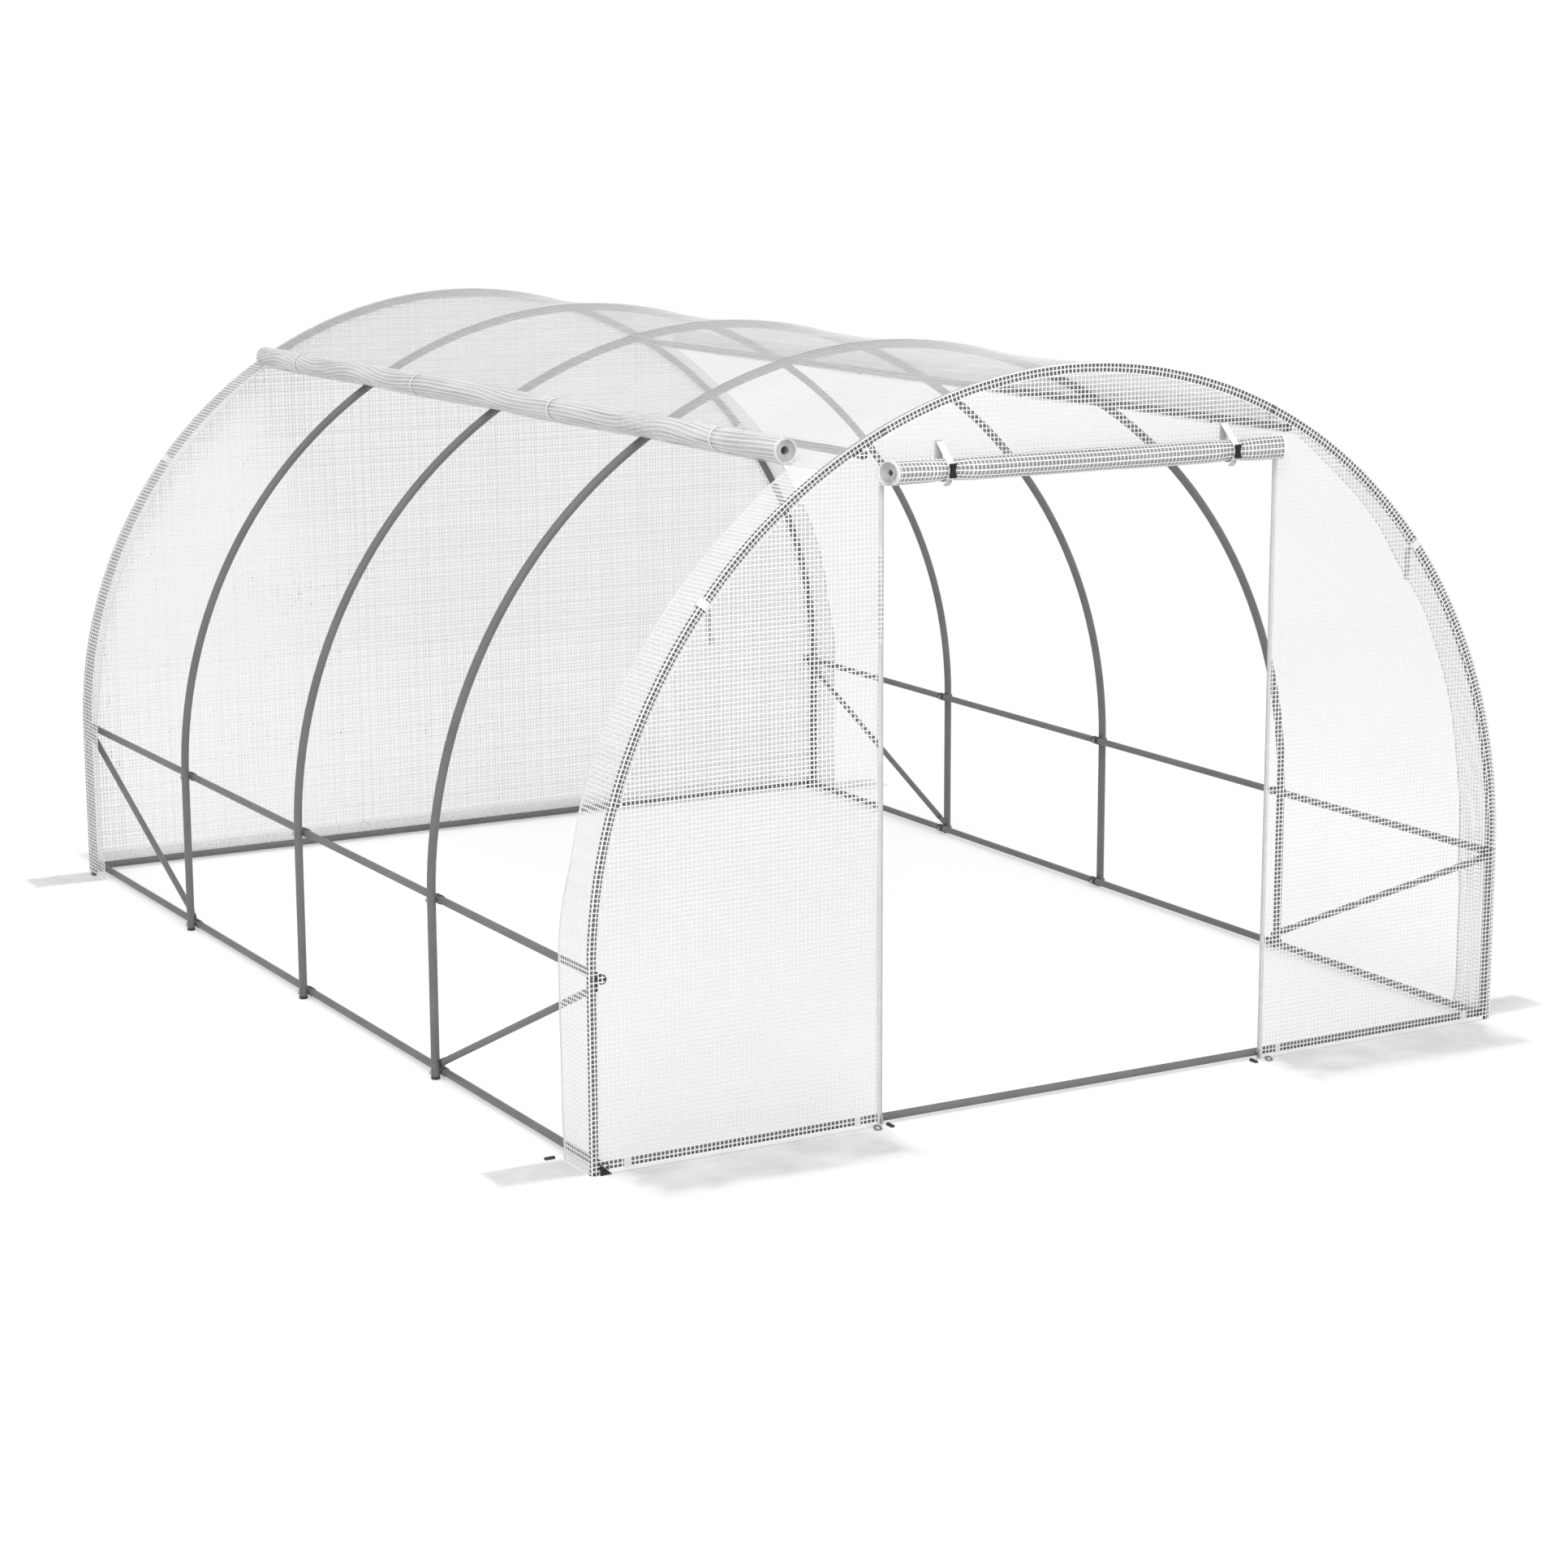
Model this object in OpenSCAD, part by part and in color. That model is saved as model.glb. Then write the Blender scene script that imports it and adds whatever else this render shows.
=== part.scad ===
// Walk-in polytunnel greenhouse: five tubular steel hoops tied by straight rails and
// braced in the end bays, under a mesh-reinforced film cover. The door and both side
// walls are rolled up and tied. X runs across the tunnel, -Y is the door end, +Z is up,
// and the origin is on the ground at the centre of the footprint.

/* [Frame] */
// Width over the hoop legs
frame_w = 3000; // [2400:10:3600]
// Height of the straight hoop legs, where the arches start
leg_h = 520; // [420:5:700]
// Distance from one hoop to the next
bay_len = 1000; // [800:5:1250]
// Outer diameter of the hoop tubes
hoop_d = 25; // [19:0.5:32]
// Outer diameter of the straight rail tubes
rail_d = 22; // [16:0.5:28]
// Outer diameter of the diagonal brace tubes
brace_d = 20; // [16:0.5:25]
// Height of the base rails' centreline above the ground
base_rail_z = 20; // [16:0.5:40]
// Angle of the upper rails round the arch, from the horizontal
upper_rail_angle = 62; // [60:0.5:75]
// Thickness of the flattened brace ends
tab_t = 4; // [2:0.5:6]
// Width of the flattened brace ends
tab_w = 22; // [18:0.5:26]
// Length of the flattened brace ends
tab_len = 34; // [28:1:50]

/* [Cover] */
// Thickness of the film
film_t = 3; // [2:0.5:5]
// Width of the film strip that wraps round the sides at each end
strip_w = 160; // [120:5:220]
// Angle of the roof film's edge round the arch, from the horizontal
roof_angle = 57; // [50:0.5:58]
// Width of the flaps that lie on the ground outside the end panels
end_flap_w = 290; // [150:5:350]
// Width of the flaps that lie on the ground beside the end strips
side_flap_w = 250; // [150:5:350]
// Distance from an end panel's flap to the corner of the tunnel
flap_inset = 40; // [0:5:80]

/* [Door] */
// Width of the door opening
door_w = 1260; // [900:10:1500]
// Height of the door opening up to the middle of the rolled door
door_h = 1765; // [1500:5:1800]
// Width of the zip strip along each door edge
zip_w = 15; // [10:1:40]
// Thickness of the zip strips
zip_t = 2; // [1:0.5:4]

/* [Rolls and straps] */
// Outer radius of the rolled-up side walls
side_roll_r = 34; // [25:1:45]
// Outer radius of the rolled-up door
door_roll_r = 30; // [22:1:40]
// Radius of the hollow down the middle of each roll
roll_core_r = 9; // [5:1:15]
// How far each end of a side roll laps over the end strip beside it
side_roll_lap = 20; // [0:1:40]
// How far each end of the door roll reaches past the opening
door_roll_lap = 10; // [0:1:30]
// Thickness of the webbing straps and ties
strap_t = 2; // [1:0.5:3]
// Width of the door straps
strap_w = 22; // [15:1:35]
// Distance of each door strap from the middle of the door
strap_x = 460; // [300:5:520]
// Length of the strap ends sewn to the panel above the rolled door
strap_tail = 45; // [30:1:60]
// Length of the buckles along their strap
buckle_h = 38; // [30:1:50]
// Width of the buckles across their strap
buckle_w = 20; // [15:1:30]
// Thickness of the buckles
buckle_t = 7; // [4:0.5:12]
// Width of the ties round the side rolls
tie_w = 16; // [10:1:25]
// Angle of the ties round the end hoops, from the horizontal
hoop_tie_angle = 39; // [30:1:50]
// Width of the ties round the end hoops
hoop_tie_w = 24; // [15:1:35]

/* [Hidden] */
$fn = 96;
bays = 4;
hoops = bays + 1;
seat = 0.3;
long = bays * bay_len;
hoop_r = hoop_d / 2;
rail_r = rail_d / 2;
arch_r = frame_w / 2 - hoop_r;
rail_x = arch_r - hoop_r - rail_r - seat;
end_y = long / 2;
// Face of the end panels that looks at the hoops, and their outer face
panel_in = end_y + hoop_r + seat;
panel_out = panel_in + film_t;
// Inner and outer radius of the roof film and the side strips
film_in = arch_r + hoop_r + seat;
film_out = film_in + film_t;
// Side roll centre, measured from the arch's own centre
side_roll_off = film_out + strap_t + 2 * seat + side_roll_r;
side_roll_len = long - 2 * (strip_w - side_roll_lap);
door_roll_y = panel_out + strap_t + 2 * seat + door_roll_r;
door_roll_len = door_w + 2 * door_roll_lap;
// How far a brace's tube runs into its flattened ends
tab_grip = 2;
// Play between parts that only pass each other, and what a cut runs past its piece
slack = 1;
big = 4 * (frame_w + long);
steel = "dimgray";
film = "whitesmoke";
webbing = "white";

function hoop_y(i) = -end_y + (i - 1) * bay_len;

// A bar of diameter d along Y, centred on x, y = 0 and z
module bar_y(d, len, x, z) {
    translate([x, len / 2, z])
        rotate([90, 0, 0])
            cylinder(h = len, d = d);
}

// A bar of diameter d along X, centred on x = 0, y and z
module bar_x(d, len, y, z) {
    translate([-len / 2, y, z])
        rotate([0, 90, 0])
            cylinder(h = len, d = d);
}

// Everything inside radius r of the arch, down to the ground, from y0 to y1
module tunnel_block(r, y0, y1) {
    translate([0, y1, leg_h])
        rotate([90, 0, 0])
            rotate_extrude(angle = 180, $fn = 180)
                square([r, y1 - y0]);
    translate([-r, y0, 0])
        cube([2 * r, y1 - y0, leg_h]);
}

// Draws its children on the +X side, and their mirror image on the -X side
module both_sides() {
    children();
    mirror([1, 0, 0]) children();
}

module hoop_arch(i) {
    color(steel)
        translate([0, hoop_y(i), leg_h])
            rotate([90, 0, 0])
                rotate_extrude(angle = 180, $fn = 180)
                    translate([arch_r, 0])
                        circle(d = hoop_d);
}

module hoop_legs(i) {
    color(steel)
        both_sides()
            translate([arch_r, hoop_y(i), 0])
                cylinder(h = leg_h, d = hoop_d);
}

module base_rail_side(side) {
    color(steel)
        bar_y(rail_d, long + hoop_d, side * rail_x, base_rail_z);
}

module base_rail_end(side) {
    color(steel)
        bar_x(rail_d, 2 * (rail_x - rail_r - seat), side * end_y, base_rail_z);
}

module mid_rail(side) {
    color(steel)
        bar_y(rail_d, long + hoop_d, side * rail_x, leg_h);
}

module upper_rail(side) {
    color(steel)
        bar_y(
            rail_d,
            long + hoop_d,
            side * rail_x * cos(upper_rail_angle),
            leg_h + rail_x * sin(upper_rail_angle)
        );
}

// Diagonal brace on the +X, -Y corner: a tube with a flattened, drilled tab at each
// end, from under the mid rail at the end hoop to above the base rail at the next
module brace_shape() {
    tab_r = tab_w / 2;
    tab_x = arch_r - hoop_r - seat - tab_t;
    top_z = leg_h - rail_r - tab_r - slack;
    low_z = base_rail_z + rail_r + tab_r + slack;
    slope = atan2(low_z - top_z, bay_len);
    span = norm([bay_len, low_z - top_z]);
    translate([tab_x, -end_y, top_z])
        rotate([slope, 0, 0]) {
            for (s = [0, span])
                translate([0, s, 0])
                    rotate([0, 90, 0])
                        cylinder(h = tab_t, d = tab_w);
            for (s = [0, span - tab_len])
                translate([0, s, -tab_r])
                    cube([tab_t, tab_len, tab_w]);
            translate([tab_t / 2, span - tab_len + tab_grip, 0])
                rotate([90, 0, 0])
                    cylinder(h = span - 2 * (tab_len - tab_grip), d = brace_d);
        }
}

module brace(side_x, side_y) {
    color(steel)
        mirror([side_x < 0 ? 1 : 0, 0, 0])
            mirror([0, side_y > 0 ? 1 : 0, 0])
                brace_shape();
}

// Arc of film between two angles round the arch, measured from +X, from y0 to y1
module film_arc(a0, a1, y0, y1) {
    translate([0, y1, leg_h])
        rotate([90, 0, 0])
            rotate([0, 0, a0])
                rotate_extrude(angle = a1 - a0, $fn = 180)
                    translate([film_in, 0])
                        square([film_t, y1 - y0]);
}

module roof_film() {
    color(film)
        film_arc(roof_angle, 180 - roof_angle, -panel_in, panel_in);
}

// Strip of cover on the +X side at the -Y end, from the roof film down to the ground
module end_strip_shape() {
    y0 = -panel_in;
    y1 = -end_y + strip_w;
    film_arc(0, roof_angle, y0, y1);
    translate([film_in, y0, 0])
        cube([film_t, y1 - y0, leg_h]);
}

module end_strip(side_x, side_y) {
    color(film)
        mirror([side_x < 0 ? 1 : 0, 0, 0])
            mirror([0, side_y > 0 ? 1 : 0, 0])
                end_strip_shape();
}

// The whole end panel, before the door is cut out of it
module end_panel_blank() {
    tunnel_block(film_out, -panel_out, -panel_in);
}

module front_panel_side(side) {
    color(film)
        intersection() {
            end_panel_blank();
            translate([side > 0 ? door_w / 2 : -big - door_w / 2, -big / 2, 0])
                cube(big);
        }
}

module front_panel_top() {
    color(film)
        intersection() {
            end_panel_blank();
            translate([-door_w / 2, -big / 2, door_h])
                cube([door_w, big, big]);
        }
}

module rear_panel() {
    color(film)
        mirror([0, 1, 0])
            end_panel_blank();
}

// A rolled-up sheet along Y, hollow down its middle
module side_roll(side) {
    x = side * side_roll_off * cos(roof_angle);
    z = leg_h + side_roll_off * sin(roof_angle);
    color(film)
        difference() {
            bar_y(2 * side_roll_r, side_roll_len, x, z);
            bar_y(2 * roll_core_r, side_roll_len + 2 * slack, x, z);
        }
}

module door_roll() {
    color(film)
        difference() {
            bar_x(2 * door_roll_r, door_roll_len, -door_roll_y, door_h);
            bar_x(2 * roll_core_r, door_roll_len + 2 * slack, -door_roll_y, door_h);
        }
}

// A flat webbing ring round a roll of radius r, w wide along its axis, Z
module webbing_ring(r, w) {
    difference() {
        cylinder(h = w, r = r + seat + strap_t, center = true);
        cylinder(h = w + slack, r = r + seat, center = true);
    }
}

module side_roll_ties() {
    color(webbing)
        both_sides()
            for (i = [1 : bays])
                translate([
                    side_roll_off * cos(roof_angle),
                    hoop_y(i) + bay_len / 2,
                    leg_h + side_roll_off * sin(roof_angle)
                ])
                    rotate([90, 0, 0])
                        webbing_ring(side_roll_r, tie_w);
}

module door_straps() {
    color(webbing)
        both_sides() {
            translate([strap_x, -door_roll_y, door_h])
                rotate([0, 90, 0])
                    webbing_ring(door_roll_r, strap_w);
            translate([strap_x - strap_w / 2, -panel_out - seat - strap_t, door_h])
                cube([strap_w, strap_t, door_roll_r + strap_tail]);
        }
}

// Side-release buckle on the front of each door strap
module strap_buckles() {
    y = -door_roll_y - door_roll_r - seat - strap_t - seat - buckle_t;
    color("black")
        both_sides()
            translate([strap_x - buckle_w / 2, y, door_h - buckle_h / 2])
                cube([buckle_w, buckle_t, buckle_h]);
}

module door_zips() {
    z0 = film_t + seat;
    z1 = door_h - door_roll_r - strap_t - slack;
    color(webbing)
        both_sides()
            translate([door_w / 2, -panel_out - seat - zip_t, z0])
                cube([zip_w, zip_t, z1 - z0]);
}

// Ties that hold the film to the end hoops: a short band over the film's outer edge
module hoop_tie_shape() {
    half = hoop_tie_w / (2 * film_out) * 180 / PI;
    translate([0, -end_y + hoop_d, leg_h])
        rotate([90, 0, 0])
            rotate([0, 0, hoop_tie_angle - half])
                rotate_extrude(angle = 2 * half, $fn = 180)
                    translate([film_out + seat, 0])
                        square([strap_t, 2 * hoop_d]);
}

module hoop_ties() {
    color(webbing)
        both_sides() {
            hoop_tie_shape();
            mirror([0, 1, 0]) hoop_tie_shape();
        }
}

module ground_flaps_front() {
    color(film)
        both_sides()
            translate([door_w / 2, -panel_out - seat - end_flap_w, 0])
                cube([film_out - door_w / 2 - flap_inset, end_flap_w, film_t]);
}

module ground_flaps_side() {
    color(film)
        both_sides()
            for (end = [-1, 1])
                translate([film_out + seat, end * (end_y - strip_w / 2) - strip_w / 2, 0])
                    cube([side_flap_w, strip_w, film_t]);
}

module ground_flap_rear() {
    w = 2 * (film_out - flap_inset);
    color(film)
        translate([-w / 2, panel_out + seat, 0])
            cube([w, end_flap_w, film_t]);
}

for (i = [1 : hoops]) {
    hoop_arch(i);
    hoop_legs(i);
}
base_rail_side(-1);  // base_rail_left
base_rail_side(1);  // base_rail_right
base_rail_end(-1);  // base_rail_front
base_rail_end(1);  // base_rail_rear
mid_rail(-1);  // mid_rail_left
mid_rail(1);  // mid_rail_right
upper_rail(-1);  // upper_rail_left
upper_rail(1);  // upper_rail_right
brace(-1, -1);  // brace_front_left
brace(1, -1);  // brace_front_right
brace(-1, 1);  // brace_rear_left
brace(1, 1);  // brace_rear_right
roof_film();
front_panel_side(-1);  // front_panel_left
front_panel_side(1);  // front_panel_right
front_panel_top();
rear_panel();
end_strip(-1, -1);  // end_strip_front_left
end_strip(1, -1);  // end_strip_front_right
end_strip(-1, 1);  // end_strip_rear_left
end_strip(1, 1);  // end_strip_rear_right
side_roll(-1);  // side_roll_left
side_roll(1);  // side_roll_right
door_roll();
side_roll_ties();
door_straps();
strap_buckles();
door_zips();
hoop_ties();
ground_flaps_front();
ground_flaps_side();
ground_flap_rear();
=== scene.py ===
"""Looks of a walk-in polytunnel greenhouse, built around its packed steel frame.

All lengths are in metres. X runs across the tunnel, -Y is the door end and +Z is up.
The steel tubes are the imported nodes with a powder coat. Every soft or moulded node is
replaced by a piece modelled here: film with its woven scrim, rolled walls, webbing.
"""

import logging
import math
from dataclasses import dataclass, field, replace
from enum import Enum
from functools import cache
from typing import Any, Callable, Iterable, Sequence

import bpy
import numpy as np
from mathutils import Matrix, Vector


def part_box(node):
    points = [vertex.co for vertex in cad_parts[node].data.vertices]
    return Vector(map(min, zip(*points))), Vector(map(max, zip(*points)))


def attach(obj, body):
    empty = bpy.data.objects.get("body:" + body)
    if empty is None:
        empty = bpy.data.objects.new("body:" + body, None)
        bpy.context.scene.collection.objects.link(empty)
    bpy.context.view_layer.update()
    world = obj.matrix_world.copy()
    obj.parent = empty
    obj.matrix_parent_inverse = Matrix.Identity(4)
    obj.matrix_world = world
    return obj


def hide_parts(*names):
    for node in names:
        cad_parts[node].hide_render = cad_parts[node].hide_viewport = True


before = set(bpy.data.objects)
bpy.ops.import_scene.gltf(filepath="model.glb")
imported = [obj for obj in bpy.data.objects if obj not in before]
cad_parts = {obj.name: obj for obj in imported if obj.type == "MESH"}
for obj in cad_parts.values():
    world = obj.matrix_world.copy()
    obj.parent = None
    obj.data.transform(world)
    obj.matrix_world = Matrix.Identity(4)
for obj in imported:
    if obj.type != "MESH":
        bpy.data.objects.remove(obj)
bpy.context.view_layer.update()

Array = np.ndarray
Faces = list[tuple[int, ...]]
Shape = tuple[Array, Faces]
Relief = Callable[[Array, Array], Array]

BODY = "root"
# Name of the mesh attribute that is 1 at a sheet's loose edges and 0 inside; it masks the ground
# film's painted highlight
RIM = "rim"
MM = 0.001
log = logging.getLogger("polytunnel")


class Slot(Enum):
    """The record's material slots."""

    STEEL = "steel_tube"
    FILM = "film"
    WEBBING = "webbing"
    BUCKLE = "buckle"


class End(Enum):
    """Which end of the tunnel, as the sign of its Y."""

    DOOR = -1
    REAR = 1


class Side(Enum):
    """Which side of the tunnel, as the sign of its X."""

    LEFT = -1
    RIGHT = 1


# ------------------------------------------------------------------ colours and nodes


def linear(hex_colour: str) -> tuple[float, float, float, float]:
    """Turns an sRGB hex colour to a linear one.

    Args:
        hex_colour: Six hex digits after a hash, such as "#7a7b7c".

    Returns:
        Linear red, green, blue and an alpha of 1.
    """
    parts = [int(hex_colour[i : i + 2], 16) / 255 for i in (1, 3, 5)]
    curve = [p / 12.92 if p <= 0.04045 else ((p + 0.055) / 1.055) ** 2.4 for p in parts]
    return (curve[0], curve[1], curve[2], 1.0)


def add_node(
    tree: bpy.types.NodeTree,
    kind: str,
    inputs: dict[str | int, Any] | None = None,
    **settings: Any,
) -> bpy.types.Node:
    """Adds one node, sets its properties and fills or links its inputs.

    Args:
        tree: The node tree to add to.
        kind: Blender's type name of the node.
        inputs: For an input's name or number, a plain value or a socket to link.
        settings: Properties of the node itself.

    Returns:
        The new node.
    """
    node = tree.nodes.new(kind)
    for name, value in settings.items():
        setattr(node, name, value)
    for key, value in (inputs or {}).items():
        if isinstance(value, bpy.types.NodeSocket):
            tree.links.new(value, node.inputs[key])
        else:
            node.inputs[key].default_value = value
    return node


def add_blend(
    tree: bpy.types.NodeTree, factor: bpy.types.NodeSocket, dark: str, light: str
) -> bpy.types.NodeSocket:
    """Adds a ramp between two colours.

    Args:
        tree: The node tree to add to.
        factor: What drives the ramp, around 0.5.
        dark: Hex colour at the ramp's low end.
        light: Hex colour at its high end.

    Returns:
        The ramp's colour socket.
    """
    ramp = add_node(tree, "ShaderNodeValToRGB", {"Fac": factor})
    low, high = ramp.color_ramp.elements
    low.position, high.position = 0.3, 0.7
    low.color, high.color = linear(dark), linear(light)
    return ramp.outputs["Color"]


def add_math(
    tree: bpy.types.NodeTree, operation: str, first: Any, second: Any
) -> bpy.types.NodeSocket:
    """Adds the sum, product or the like of two numbers.

    Args:
        tree: The node tree to add to.
        operation: Blender's name for what is done.
        first: A plain value or a socket to link.
        second: The other one.

    Returns:
        The result's socket.
    """
    made = add_node(tree, "ShaderNodeMath", {0: first, 1: second}, operation=operation)
    return made.outputs["Value"]


def empty_tree(owner: bpy.types.Material | bpy.types.World) -> bpy.types.NodeTree:
    """Gives a material or a world an empty node tree.

    Args:
        owner: The material or world.

    Returns:
        Its node tree.
    """
    owner.use_nodes = True
    owner.node_tree.nodes.clear()
    return owner.node_tree


def add_object(name: str, data: bpy.types.ID) -> bpy.types.Object:
    """Adds an object to the scene.

    Args:
        name: Its name.
        data: Its mesh, light or camera.

    Returns:
        The new object.
    """
    made = bpy.data.objects.new(name, data)
    bpy.context.scene.collection.objects.link(made)
    return made


# ------------------------------------------------------------------ finishes


@dataclass(frozen=True)
class Finish:
    """What every finish has: its name, its two close colours and its gloss."""

    name: str
    dark: str
    light: str
    roughness: float
    # Size of the colour's cloudy patches
    patch: float = 0.08
    # Size and depth of the surface's small bumps
    bump_size: float = 4 * MM
    bump_depth: float = 0.2 * MM
    # How far the pattern is drawn out along X, Y and Z
    grain: tuple[float, float, float] = (1, 1, 1)
    metallic: float = 0.0
    alpha: float = 1.0
    sheen: float = 0.0

    def pattern(self, tree: bpy.types.NodeTree) -> bpy.types.NodeSocket:
        """Adds the coordinates that the finish's patterns are drawn in, in metres.

        Args:
            tree: The node tree to add to.

        Returns:
            The socket that holds the coordinates.
        """
        place = add_node(tree, "ShaderNodeTexCoord").outputs["Object"]
        scale = [1 / g for g in self.grain]
        return add_node(
            tree, "ShaderNodeMapping", {"Vector": place, "Scale": scale}
        ).outputs["Vector"]

    def colour(
        self, tree: bpy.types.NodeTree, clouds: bpy.types.NodeSocket
    ) -> bpy.types.NodeSocket:
        """Adds the surface's colour.

        Args:
            tree: The node tree to add to.
            clouds: What drives the cloudy patches, around 0.5.

        Returns:
            The socket that holds the colour.
        """
        return add_blend(tree, clouds, self.dark, self.light)

    def height(
        self, tree: bpy.types.NodeTree, place: bpy.types.NodeSocket
    ) -> bpy.types.NodeSocket:
        """Adds the surface's relief, from 0 to 1.

        Args:
            tree: The node tree to add to.
            place: The pattern's coordinates.

        Returns:
            The socket that holds the relief.
        """
        return add_node(
            tree,
            "ShaderNodeTexNoise",
            {"Vector": place, "Scale": 1 / self.bump_size, "Detail": 3.0},
        ).outputs["Fac"]

    def material(self) -> bpy.types.Material:
        """Builds the material: cloudy colour, relief and the shader's plain values.

        Returns:
            The new material.
        """
        made = bpy.data.materials.new(self.name)
        tree = empty_tree(made)
        place = self.pattern(tree)
        clouds = add_node(
            tree, "ShaderNodeTexNoise", {"Vector": place, "Scale": 1 / self.patch, "Detail": 4.0}
        )
        bump = add_node(
            tree,
            "ShaderNodeBump",
            {"Height": self.height(tree, place), "Distance": self.bump_depth},
        )
        shader = add_node(
            tree,
            "ShaderNodeBsdfPrincipled",
            {
                "Base Color": self.colour(tree, clouds.outputs["Fac"]),
                "Roughness": self.roughness,
                "Metallic": self.metallic,
                "Alpha": self.alpha,
                "Sheen Weight": self.sheen,
                "Normal": bump.outputs["Normal"],
            },
        )
        add_node(tree, "ShaderNodeOutputMaterial", {"Surface": shader.outputs["BSDF"]})
        return made


@dataclass(frozen=True)
class WovenFinish(Finish):
    """A finish whose relief is a plain weave."""

    # Distance from one yarn to the next, as on coarse webbing
    yarn: float = 1.6 * MM
    # The wave texture's scale that draws one rib a metre
    rib_scale: float = 0.314

    def height(
        self, tree: bpy.types.NodeTree, place: bpy.types.NodeSocket
    ) -> bpy.types.NodeSocket:
        """Adds a plain weave as a sum of two sets of ribs.

        Args:
            tree: The node tree to add to.
            place: The pattern's coordinates.

        Returns:
            The socket that holds the relief.
        """
        ribs = [
            add_node(
                tree,
                "ShaderNodeTexWave",
                {"Vector": place, "Scale": self.rib_scale / self.yarn, "Distortion": 0.6},
                bands_direction=axis,
            ).outputs["Fac"]
            for axis in ("DIAGONAL", "Z")
        ]
        return add_math(tree, "ADD", *ribs)


@dataclass(frozen=True)
class RimmedFinish(Finish):
    """A finish with a painted highlight: it pales toward the sheet's loose edges, by the mesh's
    rim attribute, as if they caught the light.
    """

    # Colour of the rim's painted highlight
    rim: str = "#fdfdfd"

    def colour(
        self, tree: bpy.types.NodeTree, clouds: bpy.types.NodeSocket
    ) -> bpy.types.NodeSocket:
        """Adds the cloudy colour, then the paler rim's painted highlight over it.

        Args:
            tree: The node tree to add to.
            clouds: What drives the cloudy patches, around 0.5.

        Returns:
            The socket that holds the colour.
        """
        cloudy = super().colour(tree, clouds)
        share = add_node(tree, "ShaderNodeAttribute", attribute_name=RIM).outputs["Fac"]
        mixed = add_node(tree, "ShaderNodeMix", {0: share}, data_type="RGBA")
        tree.links.new(cloudy, mixed.inputs[6])
        mixed.inputs[7].default_value = linear(self.rim)
        return mixed.outputs[2]


# Powder-coated steel tube: an even mid grey with a soft satin edge and faint orange peel,
# whose 1 mm grain is drawn at 5 mm to show.
POWDER_COAT = Finish(
    "powder_coated_steel", "#6b6b6b", "#757575",
    roughness=0.5, patch=0.12, bump_size=5 * MM, bump_depth=0.3 * MM,
)
# Laminated polyethylene film: clear with a grey haze and a soft gloss in its creases. Darker and
# hazier than its lighter copy, it is painted shade on the left door panel.
CLEAR_FILM = Finish(
    "laminated_polyethylene_film", "#515151", "#636363",
    roughness=0.3, patch=0.3, bump_size=70 * MM, bump_depth=3 * MM, alpha=0.16,
)
# A lighter, clearer copy of the same film, for the other panels and the strips.
LIGHTER_FILM = replace(
    CLEAR_FILM, name="lighter_polyethylene_film", dark="#6d6d6d", light="#7f7f7f", alpha=0.11
)
# The same film over the roof, milkier: painted reflection, standing in for the film's stronger
# reflection where the roof is seen at a grazing angle.
ROOF_FILM = Finish(
    "milky_roof_film", "#d6d6d6", "#e2e2e2",
    roughness=0.34, patch=0.35, bump_size=80 * MM, bump_depth=3 * MM, alpha=0.41,
)
# Film lying on the ground: milky, with a painted highlight that pales its loose edges into the
# white floor.
GROUND_FILM = RimmedFinish(
    "skirt_polyethylene_film", "#b3b3b3", "#dcdcdc",
    roughness=0.4, patch=0.16, bump_size=50 * MM, bump_depth=3 * MM, alpha=0.5,
)
# Woven polyethylene tape laminated in the film: bright white with a dry surface.
SCRIM_TAPE = Finish(
    "woven_polyethylene_tape", "#f9f9f9", "#fdfdfd",
    roughness=0.55, patch=0.2, bump_size=3 * MM, bump_depth=0.1 * MM,
)
# A greyer copy of the same tape: painted shade on the roof, which is seen darker than the end
# panels. The strips' hems and the skirts' tack folds take it too.
ROOF_TAPE = replace(SCRIM_TAPE, name="shaded_polyethylene_tape", dark="#e0e0e0", light="#ececec")
# The same tape in a rolled wall, greyed by the film over it.
ROLLED_TAPE = Finish(
    "rolled_polyethylene_tape", "#ebebeb", "#f5f5f5",
    roughness=0.5, patch=0.03, bump_size=3 * MM, bump_depth=0.1 * MM,
)
# Folded and welded film edges: opaque white.
HEM_TAPE = Finish(
    "welded_film_hem", "#f2f2f2", "#fafafa", roughness=0.45, patch=0.1, bump_size=6 * MM
)
# The hem's inner turns at the ends of a roll, which lie in each other's shade.
INNER_HEM = Finish(
    "shaded_film_hem", "#bebebe", "#d2d2d2", roughness=0.5, patch=0.05, bump_size=6 * MM
)
# Many layers of film rolled up: grey between the white tapes, streaked along the roll. The grey is
# partly the film's many layers and partly painted shade of the deep gaps between the tapes; the
# dark streaks are painted shade of the grooves along the roll.
WALL_ROLL_FILM = Finish(
    "rolled_wall_film", "#979797", "#d4d4d4",
    roughness=0.38, patch=0.02, bump_size=20 * MM, bump_depth=2 * MM, grain=(1, 14, 1),
)
# The door's roll is darker still: more painted shade between its tapes.
DOOR_ROLL_FILM = replace(
    WALL_ROLL_FILM, name="rolled_door_film", dark="#838383", light="#9b9b9b", grain=(14, 1, 1)
)
# Woven polyester webbing: white with a fine rib and a little sheen.
WEBBING = WovenFinish(
    "woven_polyester_webbing", "#efefef", "#f8f8f8", roughness=0.7, patch=0.03, sheen=0.2
)
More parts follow.
